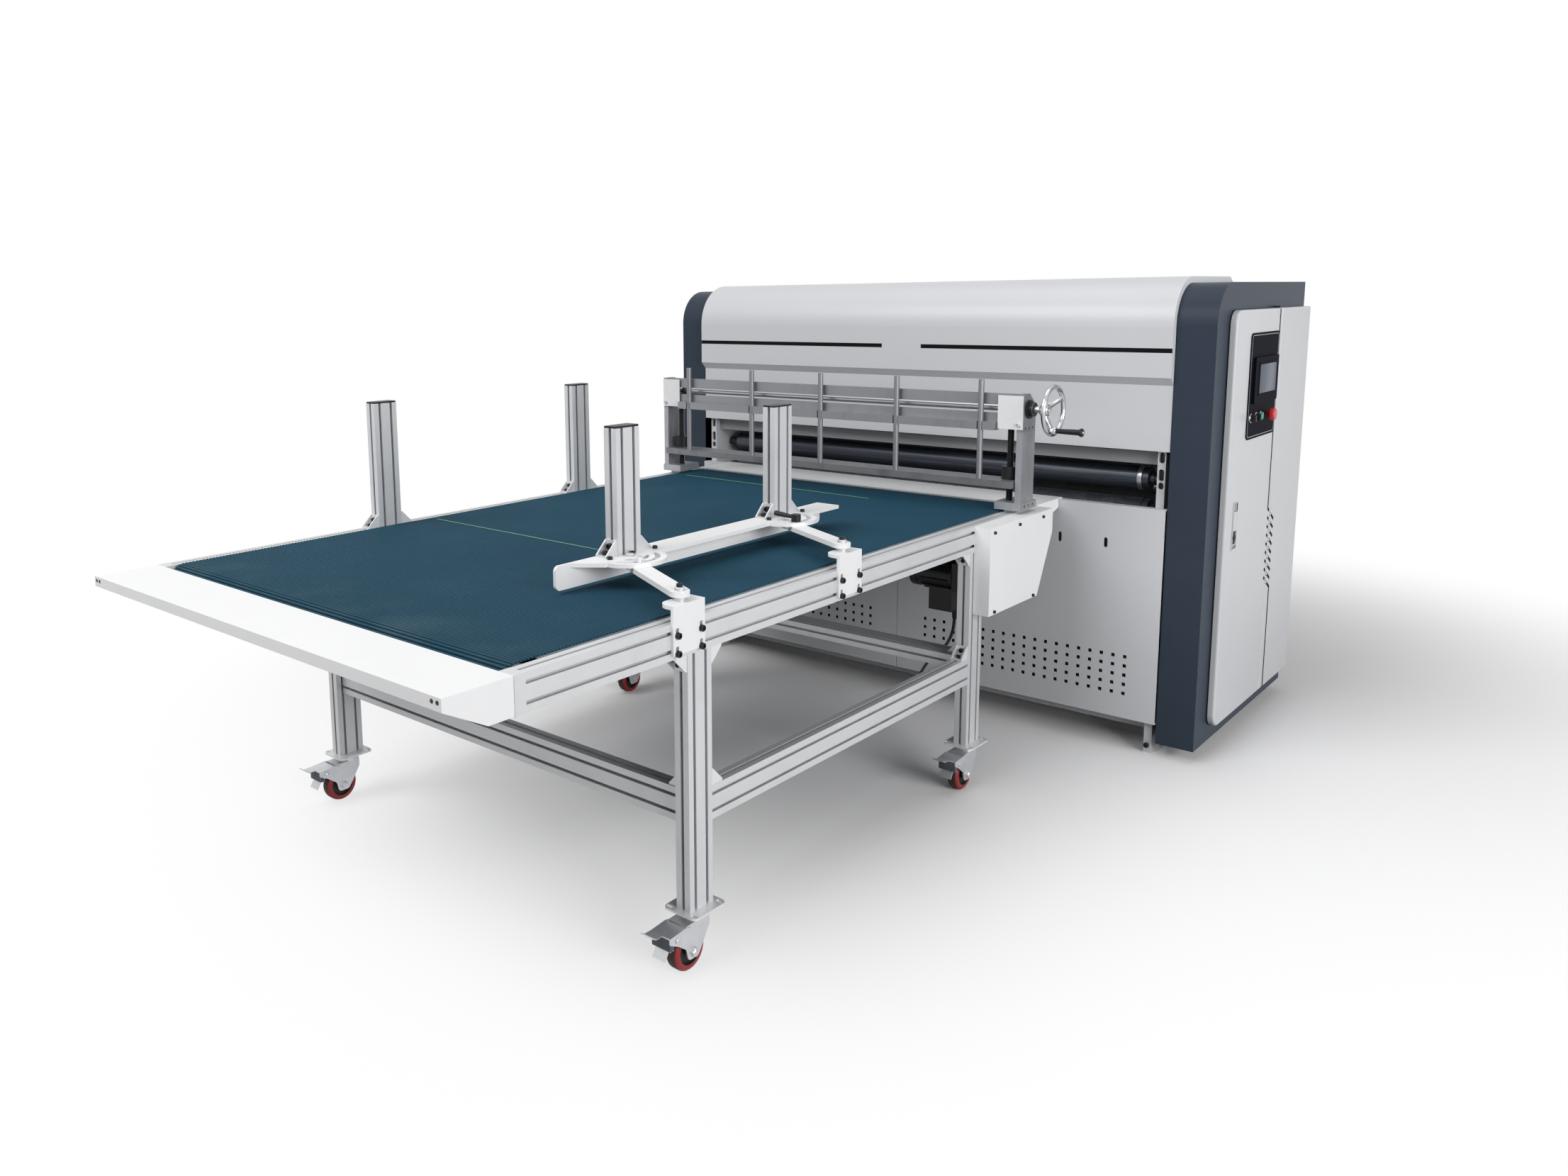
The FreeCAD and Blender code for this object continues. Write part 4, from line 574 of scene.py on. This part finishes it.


# Height gate: bare steel columns on foot blocks, stained by handling and joined by a rail of strips;
# above the shelf the strips and the columns' tops are darkened with painted shade. White sheet covers
# hide the bevel gears and a black flange carries the shaft.
GATE_Y = 2056
SHAFT_Z = 1138
COLUMN_OUT = 736
BAR_TOP = 916
SHELF_LOW = 1072
bare_steel = surface("bare_steel", (0.37, 0.38, 0.40), 0.42, 0.55, 0.08, 400, 0.1, (1, 1, 0.3),
                     stain=((0.22, 0.225, 0.235), 0.7, 11), shine=0.4)
raw_steel = surface("raw_steel", (0.20, 0.205, 0.215), 0.4, 0.5, 0.1, 420, 0.08,
                    stain=((0.09, 0.092, 0.10), 0.7, 12), shine=0.4)
zone(raw_steel, "Z", at(0, 0, BAR_TOP + 0.4).z, at(0, 0, BAR_TOP + 1).z, (0.22, 0.225, 0.24))
# Painted shade: above the shelf the strips and the columns' tops turn darker.
zone(bare_steel, "Z", at(0, 0, SHELF_LOW - 6).z, at(0, 0, SHELF_LOW).z, (0.19, 0.195, 0.21), 0.6)
dress(bare_steel, "gate_frame")
dress(white_paint, "gear_covers")
dress(raw_steel, "gate_bar")
flange_bm = bmesh.new()
lathe(flange_bm, [(10.3, 0), (29, 0), (29, 5), (28, 6), (22.6, 6.2), (22.6, 17.6), (21, 19.3), (10.3, 19.4),
                  (10.3, 0)], at(COLUMN_OUT, GATE_Y, SHAFT_Z), (1, 0, 0))
piece("shaft_flange", flange_bm, black_steel, "machine")
gear_bm = bmesh.new()
for x in (-722, 722):
    screw(gear_bm, at(x, GATE_Y - 42, 1092), (0, -1, 0), 6)
piece("gear_cover_screws", gear_bm, zinc, "machine")


# Cross shaft and lead screws: a ground shaft with two black bevel gears turns two black screws
# with trapezoidal threads, one of each hand; the long black nuts run on them.
SCREW_X = 680
SPIGOT_LOW = 835
SCREW_LOW = 848.3
SCREW_HIGH = 1116
THREAD_PITCH = 5
THREAD_STEPS = 20
GEAR_TEETH = 18
GEAR_R = 21.4
GEAR_H = 10
dress(black_steel, "gate_nuts")


def bevel_gear(bm, centre, axis):
    """Cone of straight teeth, from the middle of its large end along its axis."""
    axis = Vector(axis)
    body_r = GEAR_R - 2
    lathe(bm, [(0, 0), (body_r, 0), (body_r - GEAR_H, GEAR_H), (0, GEAR_H)], at(*centre), axis)
    for i in range(GEAR_TEETH):
        out = Matrix.Rotation(math.tau * i / GEAR_TEETH, 3, axis) @ axis.orthogonal().normalized()
        face = (out + axis).normalized()
        foot = Vector(centre) + out * GEAR_R - face
        slat(bm, foot, foot + (axis - out) * GEAR_H, face, 2.6, 2, 0.4)


shaft_bm = bmesh.new()
lathe(shaft_bm, [(0, -COLUMN_OUT), (9.2, -COLUMN_OUT), (10, 1 - COLUMN_OUT), (10, 795), (0, 795)],
      at(0, GATE_Y, SHAFT_Z), (1, 0, 0))
shaft = piece("ground_shaft", shaft_bm, ground_steel, "wheel")
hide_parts("cross_shaft")
gears_bm = bmesh.new()
for side in (-1, 1):
    bevel_gear(gears_bm, (side * (SCREW_X - 22), GATE_Y, SHAFT_Z), (side, 0, 0))
piece("shaft_gears", gears_bm, black_steel, "wheel")
for name, side in (("left", -1), ("right", 1)):
    foot = at(side * SCREW_X, GATE_Y, 0)
    thread_bm = bmesh.new()
    lathe(thread_bm, [(0, SPIGOT_LOW), (6, SPIGOT_LOW), (6, SCREW_LOW), (8.6, SCREW_LOW), (8.6, SCREW_HIGH),
                      (0, SCREW_HIGH)], foot, (0, 0, 1), 24)
    turns = int((SCREW_HIGH - SCREW_LOW) / THREAD_PITCH) - 1
    low = SCREW_LOW + THREAD_PITCH / 2
    ridge = [(8.4, low - 1.9), (10.5, low - 0.9), (10.5, low + 0.9), (8.4, low + 1.9), (8.4, low - 1.9)]
    lathe(thread_bm, ridge, foot, (0, 0, 1), turns * THREAD_STEPS, side * turns * math.tau,
          turns * THREAD_PITCH)
    bevel_gear(thread_bm, (side * SCREW_X, GATE_Y, SCREW_HIGH), (0, 0, 1))
    lead = piece("threaded_screw_" + name, thread_bm, black_steel, "screw_" + name)
    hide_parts("lead_screw_" + name)


# Handwheel: cast, turned and chromed, with a dished web of three arms between its hub and its
# round rim; a black moulded grip with a flared end turns on the crank pin.
WHEEL_X = 813
RIM_R = 72
CRANK_R = 62
chrome = surface("chrome", (0.52, 0.525, 0.54), 0.16, 1, 0.03, 300, 0.02)
hub = at(WHEEL_X, GATE_Y, SHAFT_Z)
crank = hub - Vector((0, 0, CRANK_R / 1000))
hand_bm = bmesh.new()
rim = [(RIM_R + 7.5 * math.cos(a), 7.5 * math.sin(a)) for a in (math.tau * i / 14 for i in range(14))]
lathe(hand_bm, rim + rim[:1], hub, (1, 0, 0), 64)
lathe(hand_bm, [(0, -17.6), (10.2, -17.6), (10.2, -38), (17, -38), (19, -36), (19, -18), (17, -14),
                (14, -12.5), (8, -13), (6, -16), (0, -16)], hub, (1, 0, 0))
lathe(hand_bm, [(0, -6), (11, -6), (12, -4), (12, 10), (10, 12), (4, 12), (4, 90), (0, 90)],
      crank, (1, 0, 0), 24)
# Stations of an arm: radius, distance along the shaft, half width and half thickness.
ARM = ((10, -26, 12, 8), (24, -22, 11, 7), (40, -13, 9, 6), (56, -5, 9, 5.5), (70, -1, 11, 5))


def loft(bm, places, segments=14):
    """Closed tube through unit circles set by a row of matrices."""
    made = bmesh.ops.create_circle(bm, cap_ends=True, segments=segments, radius=1, matrix=places[0])
    edges = list({e for v in made["verts"] for e in v.link_edges})
    for last, place in zip(places, places[1:]):
        grown = bmesh.ops.extrude_edge_only(bm, edges=edges)["geom"]
        verts = [g for g in grown if isinstance(g, bmesh.types.BMVert)]
        bmesh.ops.transform(bm, matrix=place @ last.inverted(), verts=verts)
        edges = [g for g in grown if isinstance(g, bmesh.types.BMEdge) and g.is_boundary]
    bmesh.ops.holes_fill(bm, edges=edges, sides=0)
    bmesh.ops.recalc_face_normals(bm, faces=bm.faces)


to_metres = Matrix.Translation(hub) @ Matrix.Scale(0.001, 4)
for i in range(3):
    spin = to_metres @ Matrix.Rotation(math.tau * i / 3, 4, "X")
    places = []
    for r, x, wide, thick in ARM:
        oval = Matrix(((0, thick, 0, x), (wide, 0, 0, 0), (0, 0, 1, -r), (0, 0, 0, 1)))
        places.append(spin @ oval)
    loft(hand_bm, places)
hand = piece("chromed_handwheel", hand_bm, chrome, "wheel", 45)
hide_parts("handwheel")
grip_bm = bmesh.new()
lathe(grip_bm, [(4.1, 12.4), (6.5, 12.4), (7.5, 14), (8.2, 40), (9, 80), (10, 83), (12.4, 85.5), (13, 88),
                (12.6, 92), (10.5, 94), (0, 94.2), (0, 91), (4.1, 91), (4.1, 12.4)], crank, (1, 0, 0))
grip = piece("moulded_grip", grip_bm, black_plastic, "grip", 45)
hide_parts("crank_grip")
pin_bm = bmesh.new()
lathe(pin_bm, [(0, 93), (4.6, 93), (4.6, 94.9), (3.8, 95.6), (0, 95.8)], crank, (1, 0, 0), 20)
piece("grip_pin", pin_bm, zinc, "grip")


# Side guides: white powder coated brackets, arms, half discs and guide bar, with black screws,
# zinc washers and nuts at their pivots; two capped posts stand on the bar.
PIVOT_X = 694
PIVOTS_Y = (460, 1085)
ARM_DX = -279
ARM_DY = 142
ARM_LOW = 864
FLANGE_TOP = 886
SLOT_R = 66
DISC_SCREWS_X = 402
GUIDE_POSTS_X = 354
GUIDE_POSTS_Y = (582, 1207)
dress(white_paint, "guide_brackets", "guide_arm_front", "guide_arm_rear", "guide_bar")
dress(black_plastic, "clamp_lever")
bolt_bm = bmesh.new()
washer_bm = bmesh.new()
for y in PIVOTS_Y:
    for dy in (-39, 39):
        for z in (RAIL_LOW + 14, RAIL_TOP - 26):
            screw(bolt_bm, at(RAIL_X + 7, y + dy, z), (1, 0, 0), 7.5)
    screw(bolt_bm, at(PIVOT_X, y, ARM_LOW + 19.5), (0, 0, 1), 7)
    lathe(washer_bm, [(5, -0.2), (14.6, -0.2), (14.6, 2.6), (13.4, 2.9), (14.6, 3.2), (14.6, 6), (13.4, 6.3),
                      (14.6, 6.6), (14.6, 9.4), (5, 9.4), (5, -0.2)],
          at(PIVOT_X, y, ARM_LOW - 10), (0, 0, 1), 24)
    lathe(washer_bm, [(0, 12.5), (11.5, 12.5), (11.5, 18.5), (10.5, 19.6), (0, 19.6)],
          at(PIVOT_X, y, ARM_LOW), (0, 0, 1), 24)
piece("guide_bolts", bolt_bm, black_steel, "machine")
piece("pivot_washers", washer_bm, zinc, "machine")
for body, y in zip(("arm_front", "arm_rear"), PIVOTS_Y):
    nut_bm = bmesh.new()
    lathe(nut_bm, [(0, 0.3), (10.6, 0.3), (10.6, 5.4), (9.2, 6.6), (0, 6.6)],
          at(PIVOT_X + ARM_DX, y + ARM_DY, FLANGE_TOP), (0, 0, 1), 6)
    if body == "arm_front":
        near = 1 - SLOT_R / math.hypot(ARM_DX, ARM_DY)
        lathe(nut_bm, [(0, 0.3), (11.2, 0.3), (11.2, 7), (9.8, 8.4), (5.2, 8.4), (5.2, 14.3), (0, 14.3)],
              at(PIVOT_X + ARM_DX * near, y + ARM_DY * near, FLANGE_TOP), (0, 0, 1), 6)
    piece("pivot_nut_" + body, nut_bm, zinc, body, 20)
post_bm = bmesh.new()
post_screw_bm = bmesh.new()
for y in GUIDE_POSTS_Y:
    block(post_bm, (GUIDE_POSTS_X, y, POST_TOP), (GUIDE_POSTS_X + MODULE, y + 2 * MODULE, POST_TOP + 5), 2)
    bracket_screws(post_screw_bm, GUIDE_POSTS_X + MODULE / 2, y, FLANGE_TOP, 180, r=8)
    bracket_screws(post_screw_bm, GUIDE_POSTS_X + MODULE / 2, y + 2 * MODULE, FLANGE_TOP, 0, r=8)
    for dy in (-56, 22, 102):
        screw(post_screw_bm, at(DISC_SCREWS_X, y + 20 + dy, FLANGE_TOP), (0, 0, 1), 6.5)
piece("guide_post_caps", post_bm, black_plastic, "guide")
piece("guide_post_screws", post_screw_bm, black_steel, "guide")


# Press frame: thick side plates painted white with the bearings bolted to their outer faces, tied
# by square beams; the grey press beam crosses above the rollers and the gear motor hangs inside.
# The pockets in the plates' front edges are darkened by black blocks set in them as painted
# shade, and a black bolt sits in each front foot.
# Painted shade: the press's white sheet takes a darker copy of the white paint, for the shade on its faces.
shaded_white_paint = surface("shaded_white_paint", (0.57, 0.58, 0.60), 0.36, drift=0.02, relief=0.05,
                     stain=((0.53, 0.535, 0.545), 0.25, 5), shine=0.4)
grey_paint = surface("grey_paint", (0.24, 0.245, 0.255), 0.45, drift=0.06, relief=0.08, shine=0.3)
dress(shaded_white_paint, "body_frame")
dress(grey_paint, "press_beam", "press_motor")
FRAME_FRONT = 2394
PLATES_X = (-795, 1025)
# Painted shade: black blocks set into the pockets darken them.
pocket_shade_bm = bmesh.new()
for x in PLATES_X:
    for low, high in ((871, 894), (898, 936), (955, 989)):
        block(pocket_shade_bm, (x - 7.6, FRAME_FRONT + 7, low + 1), (x + 7.6, FRAME_FRONT + 17.5, high - 1), 5)
piece("pocket_shade_blocks", pocket_shade_bm, black_steel, "machine")
foot_bm = bmesh.new()
for x in PLATES_X:
    screw(foot_bm, at(x - 2, FRAME_FRONT, 26), (0, -1, 0), 8.5)
piece("foot_bolts", foot_bm, black_steel, "machine")


# Rollers: blackened steel feed rollers at the mouth, ground steel press rollers behind them,
# turned all over and geared together at their left ends.
FEED_Y = 2500
FEED_HIGH_Z = 888
roller_skin = surface("roller_skin", (0.040, 0.047, 0.060), 0.34, 0.4, 0.15, 420, 0.12, (0.03, 1, 1),
                      stain=((0.12, 0.13, 0.155), 0.9, 90), shine=0.35)
knurled_skin = surface("knurled_skin", (0.030, 0.034, 0.043), 0.55, 0.2, 0.2, 260, 0.6, (0.35, 1, 1),
                       stain=((0.11, 0.12, 0.14), 0.8, 60), shine=0.3)
dress(roller_skin, "feed_roller_upper")
dress(knurled_skin, "feed_roller_lower")
collar_bm = bmesh.new()
lathe(collar_bm, [(16, 926), (40.2, 926), (40.5, 926.6), (40.5, 939.6), (39.6, 940.6), (16, 940.6),
                  (16, 926)], at(0, FEED_Y, FEED_HIGH_Z), (1, 0, 0), 48)
piece("feed_collar", collar_bm, ground_steel, "feed_upper")
dress(ground_steel, "press_roller_upper", "press_roller_lower")


# End covers: folded sheet pillars at both ends of the press, with a rounded front top, powder
# coated slate.
slate_paint = surface("slate_paint", (0.030, 0.042, 0.061), 0.42, drift=0.05, relief=0.06,
                      stain=((0.039, 0.053, 0.074), 0.5, 4), shine=0.12)
dress(slate_paint, "left_end_cover", "right_end_cover")


# Hood and panels: white powder coated sheet; two black tape strips run along the hood's face with
# a bare space between them, and black sheets behind the lower panels' perforation are painted shade.
HOOD_FRONT = 2352
STRIPE_LOW = 1303
STRIPE_TOP = 1317
PANEL_BACK = 2367
SHADE_SHEET_LOW = 174
SHADE_SHEET_TOP = 334
# Painted shade: hood, panels and door take the darker copy of the white paint.
dress(shaded_white_paint, "hood", "front_panels", "fixed_panels", "cabinet_door")
tape = surface("tape", (0.008, 0.008, 0.009), 0.55, drift=0.08, grain=300, relief=0.04, shine=0.03)
tape_bm = bmesh.new()
for x0, x1 in ((-823, 32), (191, 1053)):
    block(tape_bm, (x0, HOOD_FRONT - 0.4, STRIPE_LOW), (x1, HOOD_FRONT + 0.3, STRIPE_TOP), 0.15, 1)
piece("hood_stripes", tape_bm, tape, "machine")
# Painted shade: black sheets behind the perforation stand in for the dark inside of the press.
shade_backing = surface("shade_backing", (0.006, 0.006, 0.007), 0.9, drift=0.2, grain=500, relief=0.5, shine=0.05)
shade_sheet_bm = bmesh.new()
for x0, x1 in ((-736, 9), (207, 966)):
    block(shade_sheet_bm, (x0, PANEL_BACK + 0.6, SHADE_SHEET_LOW), (x1, PANEL_BACK + 6, SHADE_SHEET_TOP), 2)
piece("vent_shade_sheets", shade_sheet_bm, shade_backing, "machine")


# Cabinet door: a white tray with a black rubber seal round its free edges and a chromed paddle latch
# in a framed pocket; black tape runs down it, steps back in nine slanting bars and runs on down
# the rear panel.
DOOR_X = 1172.5
DOOR_FACE = 1197.8
DOOR_FRONT = 2485
DOOR_BACK = 2972
DOOR_LOW = 95
DOOR_TOP = 1430
DOOR_R = 45
PANEL_FACE = 1197.5
rubber = surface("rubber", (0.012, 0.012, 0.012), 0.7, drift=0.1, grain=900, relief=0.15, shine=0.2)


def border(bm, y0, z0, y1, z1, r, wide, x0, x1):
    """Rounded rectangular frame of that outer size in the YZ plane, from x0 to x1."""
    a = at(x0, y0, z0)
    b = at(x0, y1, z1)
    old = set(bm.faces)
    lie = Matrix(((0, 0, 1, 0), (b.y - a.y, 0, 0, 0), (0, b.z - a.z, 0, 0), (0, 0, 0, 1)))
    made = bmesh.ops.create_grid(bm, x_segments=1, y_segments=1, size=0.5,
                                 matrix=Matrix.Translation((a + b) / 2) @ lie)
    bmesh.ops.bevel(bm, geom=made["verts"], offset=r / 1000, segments=8, profile=0.5, affect="VERTICES",
                    material=-1)
    field = [f for f in bm.faces if f not in old]
    ring = bmesh.ops.inset_region(bm, faces=field, thickness=wide / 1000, use_even_offset=True,
                                  use_boundary=True)["faces"]
    bmesh.ops.delete(bm, geom=field, context="FACES")
    grown = bmesh.ops.extrude_face_region(bm, geom=ring)["geom"]
    verts = [g for g in grown if isinstance(g, bmesh.types.BMVert)]
    bmesh.ops.translate(bm, vec=((x1 - x0) / 1000, 0, 0), verts=verts)
    bmesh.ops.recalc_face_normals(bm, faces=bm.faces)


seal_bm = bmesh.new()
SEAL_OUT = 1.6                      # how far the seal stands out from the tray
border(seal_bm, DOOR_FRONT - SEAL_OUT, DOOR_LOW - SEAL_OUT, DOOR_BACK + 200, DOOR_TOP + SEAL_OUT,
       DOOR_R + SEAL_OUT, 2.1, DOOR_X + 0.6, DOOR_X + 4)
everything = seal_bm.verts[:] + seal_bm.edges[:] + seal_bm.faces[:]
bmesh.ops.bisect_plane(seal_bm, geom=everything, plane_co=at(0, DOOR_BACK - 40, 0), plane_no=(0, 1, 0),
                       clear_outer=True)
bmesh.ops.holes_fill(seal_bm, edges=[e for e in seal_bm.edges if e.is_boundary], sides=0)
bmesh.ops.recalc_face_normals(seal_bm, faces=seal_bm.faces)
piece("door_seal", seal_bm, rubber, "door")

TAPE_Y = (2941, 3017)
TAPE_Z = (752, 704)                 # height of the first bar at either line
BAR_STEP = 30.2
BARS = 9
TAPE_W = 10.5
TAPE_T = 0.7
DOOR_FLAT = 2957.5
PANEL_FLAT = 2986.5
PANEL_R = 8                         # round of the rear panel's edge, which the bars are laid over
fall = (TAPE_Z[1] - TAPE_Z[0]) / (TAPE_Y[1] - TAPE_Y[0])
door_tape_bm = bmesh.new()
panel_tape_bm = bmesh.new()
slat(door_tape_bm, (DOOR_FACE, TAPE_Y[0], TAPE_Z[0] - 3), (DOOR_FACE, TAPE_Y[0], DOOR_TOP - 3), (1, 0, 0),
     TAPE_W, TAPE_T)
for i in range(BARS):
    top = TAPE_Z[0] - BAR_STEP * i
    for bm, x, y0, y1 in ((door_tape_bm, DOOR_FACE, TAPE_Y[0], DOOR_FLAT),
                          (panel_tape_bm, PANEL_FACE, PANEL_FLAT - 10, TAPE_Y[1])):
        slat(bm, (x, y0, top + fall * (y0 - TAPE_Y[0])), (x, y1, top + fall * (y1 - TAPE_Y[0])), (1, 0, 0),
             TAPE_W, TAPE_T)
long_edges = [e for e in panel_tape_bm.edges if e.calc_length() > 0.02]
bmesh.ops.subdivide_edges(panel_tape_bm, edges=long_edges, cuts=15, use_grid_fill=True)
flat = at(PANEL_FACE - PANEL_R, PANEL_FLAT, 0)
for vert in panel_tape_bm.verts:
    if vert.co.y < flat.y:
        turned = (flat.y - vert.co.y) * 1000 / PANEL_R
        r = vert.co.x - flat.x
        vert.co.x = flat.x + r * math.cos(turned)
        vert.co.y = flat.y - r * math.sin(turned)
low_bar = TAPE_Z[1] - BAR_STEP * (BARS - 1)
slat(panel_tape_bm, (PANEL_FACE, TAPE_Y[1], low_bar + 3), (PANEL_FACE, TAPE_Y[1], DOOR_LOW + 2), (1, 0, 0),
     TAPE_W, TAPE_T)
piece("door_tape", door_tape_bm, tape, "door")
piece("panel_tape", panel_tape_bm, tape, "machine")

LATCH_Y = 2570
LATCH_LOW = 674
LATCH_TOP = 823
dress(chrome, "door_latch")
latch_bm = bmesh.new()
border(latch_bm, LATCH_Y - 23, LATCH_LOW - 5, LATCH_Y + 23, LATCH_TOP + 5, 8, 5, DOOR_FACE - 0.5,
       DOOR_FACE + 2.5)
piece("latch_frame", latch_bm, chrome, "door")
lock_bm = bmesh.new()
block(lock_bm, (DOOR_FACE + 2, LATCH_Y - 12, LATCH_LOW + 16), (DOOR_FACE + 4, LATCH_Y + 12, LATCH_LOW + 58),
      1)
lathe(lock_bm, [(0, 0), (9, 0), (9, 1.6), (8, 2.4), (2.4, 2.4), (2, 0.8), (0, 0.8)],
      at(DOOR_FACE + 3.4, LATCH_Y, LATCH_LOW + 36), (1, 0, 0), 24)
piece("latch_lock", lock_bm, black_plastic, "latch")


# Control plate: black enamelled sheet with a thin pale border, the operating screen in its dark
# housing, two selector switches and a green push button in chromed rings, and the red emergency stop.
PLATE_FACE = 1200.8
PLATE_FRONT = 2628
PLATE_BACK = 2934
PLATE_LOW = 1016
PLATE_TOP = 1356
BUTTONS_Y = (2652, 2704, 2756)
BUTTON_Z = 1086
SCREEN_FRONT = 2707
SCREEN_BACK = 2891
SCREEN_LOW = 1161
SCREEN_TOP = 1254
BEZEL_OUT = 8                       # how far the bezel reaches past the glass
enamel = surface("enamel", (0.0055, 0.006, 0.0105), 0.5, drift=0.1, grain=900, relief=0.03, shine=0.01)
dress(enamel, "control_panel")
dress(black_plastic, "selector_left", "selector_right")
green_plastic = surface("green_plastic", (0.02, 0.33, 0.22), 0.3, drift=0.05, grain=900, relief=0.05)
red_plastic = surface("red_plastic", (0.60, 0.025, 0.03), 0.3, drift=0.05, grain=900, relief=0.05)
dress(green_plastic, "start_button")
dress(red_plastic, "emergency_stop")
ring_bm = bmesh.new()
for y in BUTTONS_Y:
    lathe(ring_bm, [(12.35, -0.2), (15, -0.2), (15, 4.6), (14.2, 5.4), (12.35, 5.4), (12.35, -0.2)],
          at(PLATE_FACE, y, BUTTON_Z), (1, 0, 0))
piece("button_bezels", ring_bm, chrome, "door")
border_paint = surface("border_paint", (0.45, 0.46, 0.47), 0.45, drift=0.05)
border_bm = bmesh.new()
border(border_bm, PLATE_FRONT + 7, PLATE_LOW + 7, PLATE_BACK - 7, PLATE_TOP - 7, 12, 1.6, PLATE_FACE - 0.3,
       PLATE_FACE + 0.3)
piece("plate_border", border_bm, border_paint, "door")
screen_glass = surface("screen_glass", (0.065, 0.082, 0.115), 0.3, drift=0.2, grain=200, relief=0.01,
                       shine=0.2)
screen_bm = bmesh.new()
block(screen_bm, (PLATE_FACE + 7, SCREEN_FRONT, SCREEN_LOW), (PLATE_FACE + 8.6, SCREEN_BACK, SCREEN_TOP), 0.5)
piece("screen_glass", screen_bm, screen_glass, "door")
bezel_bm = bmesh.new()
border(bezel_bm, SCREEN_FRONT - BEZEL_OUT, SCREEN_LOW - BEZEL_OUT, SCREEN_BACK + BEZEL_OUT,
       SCREEN_TOP + BEZEL_OUT, 7, 7, PLATE_FACE + 7, PLATE_FACE + 9.4)
piece("screen_bezel", bezel_bm, enamel, "door")
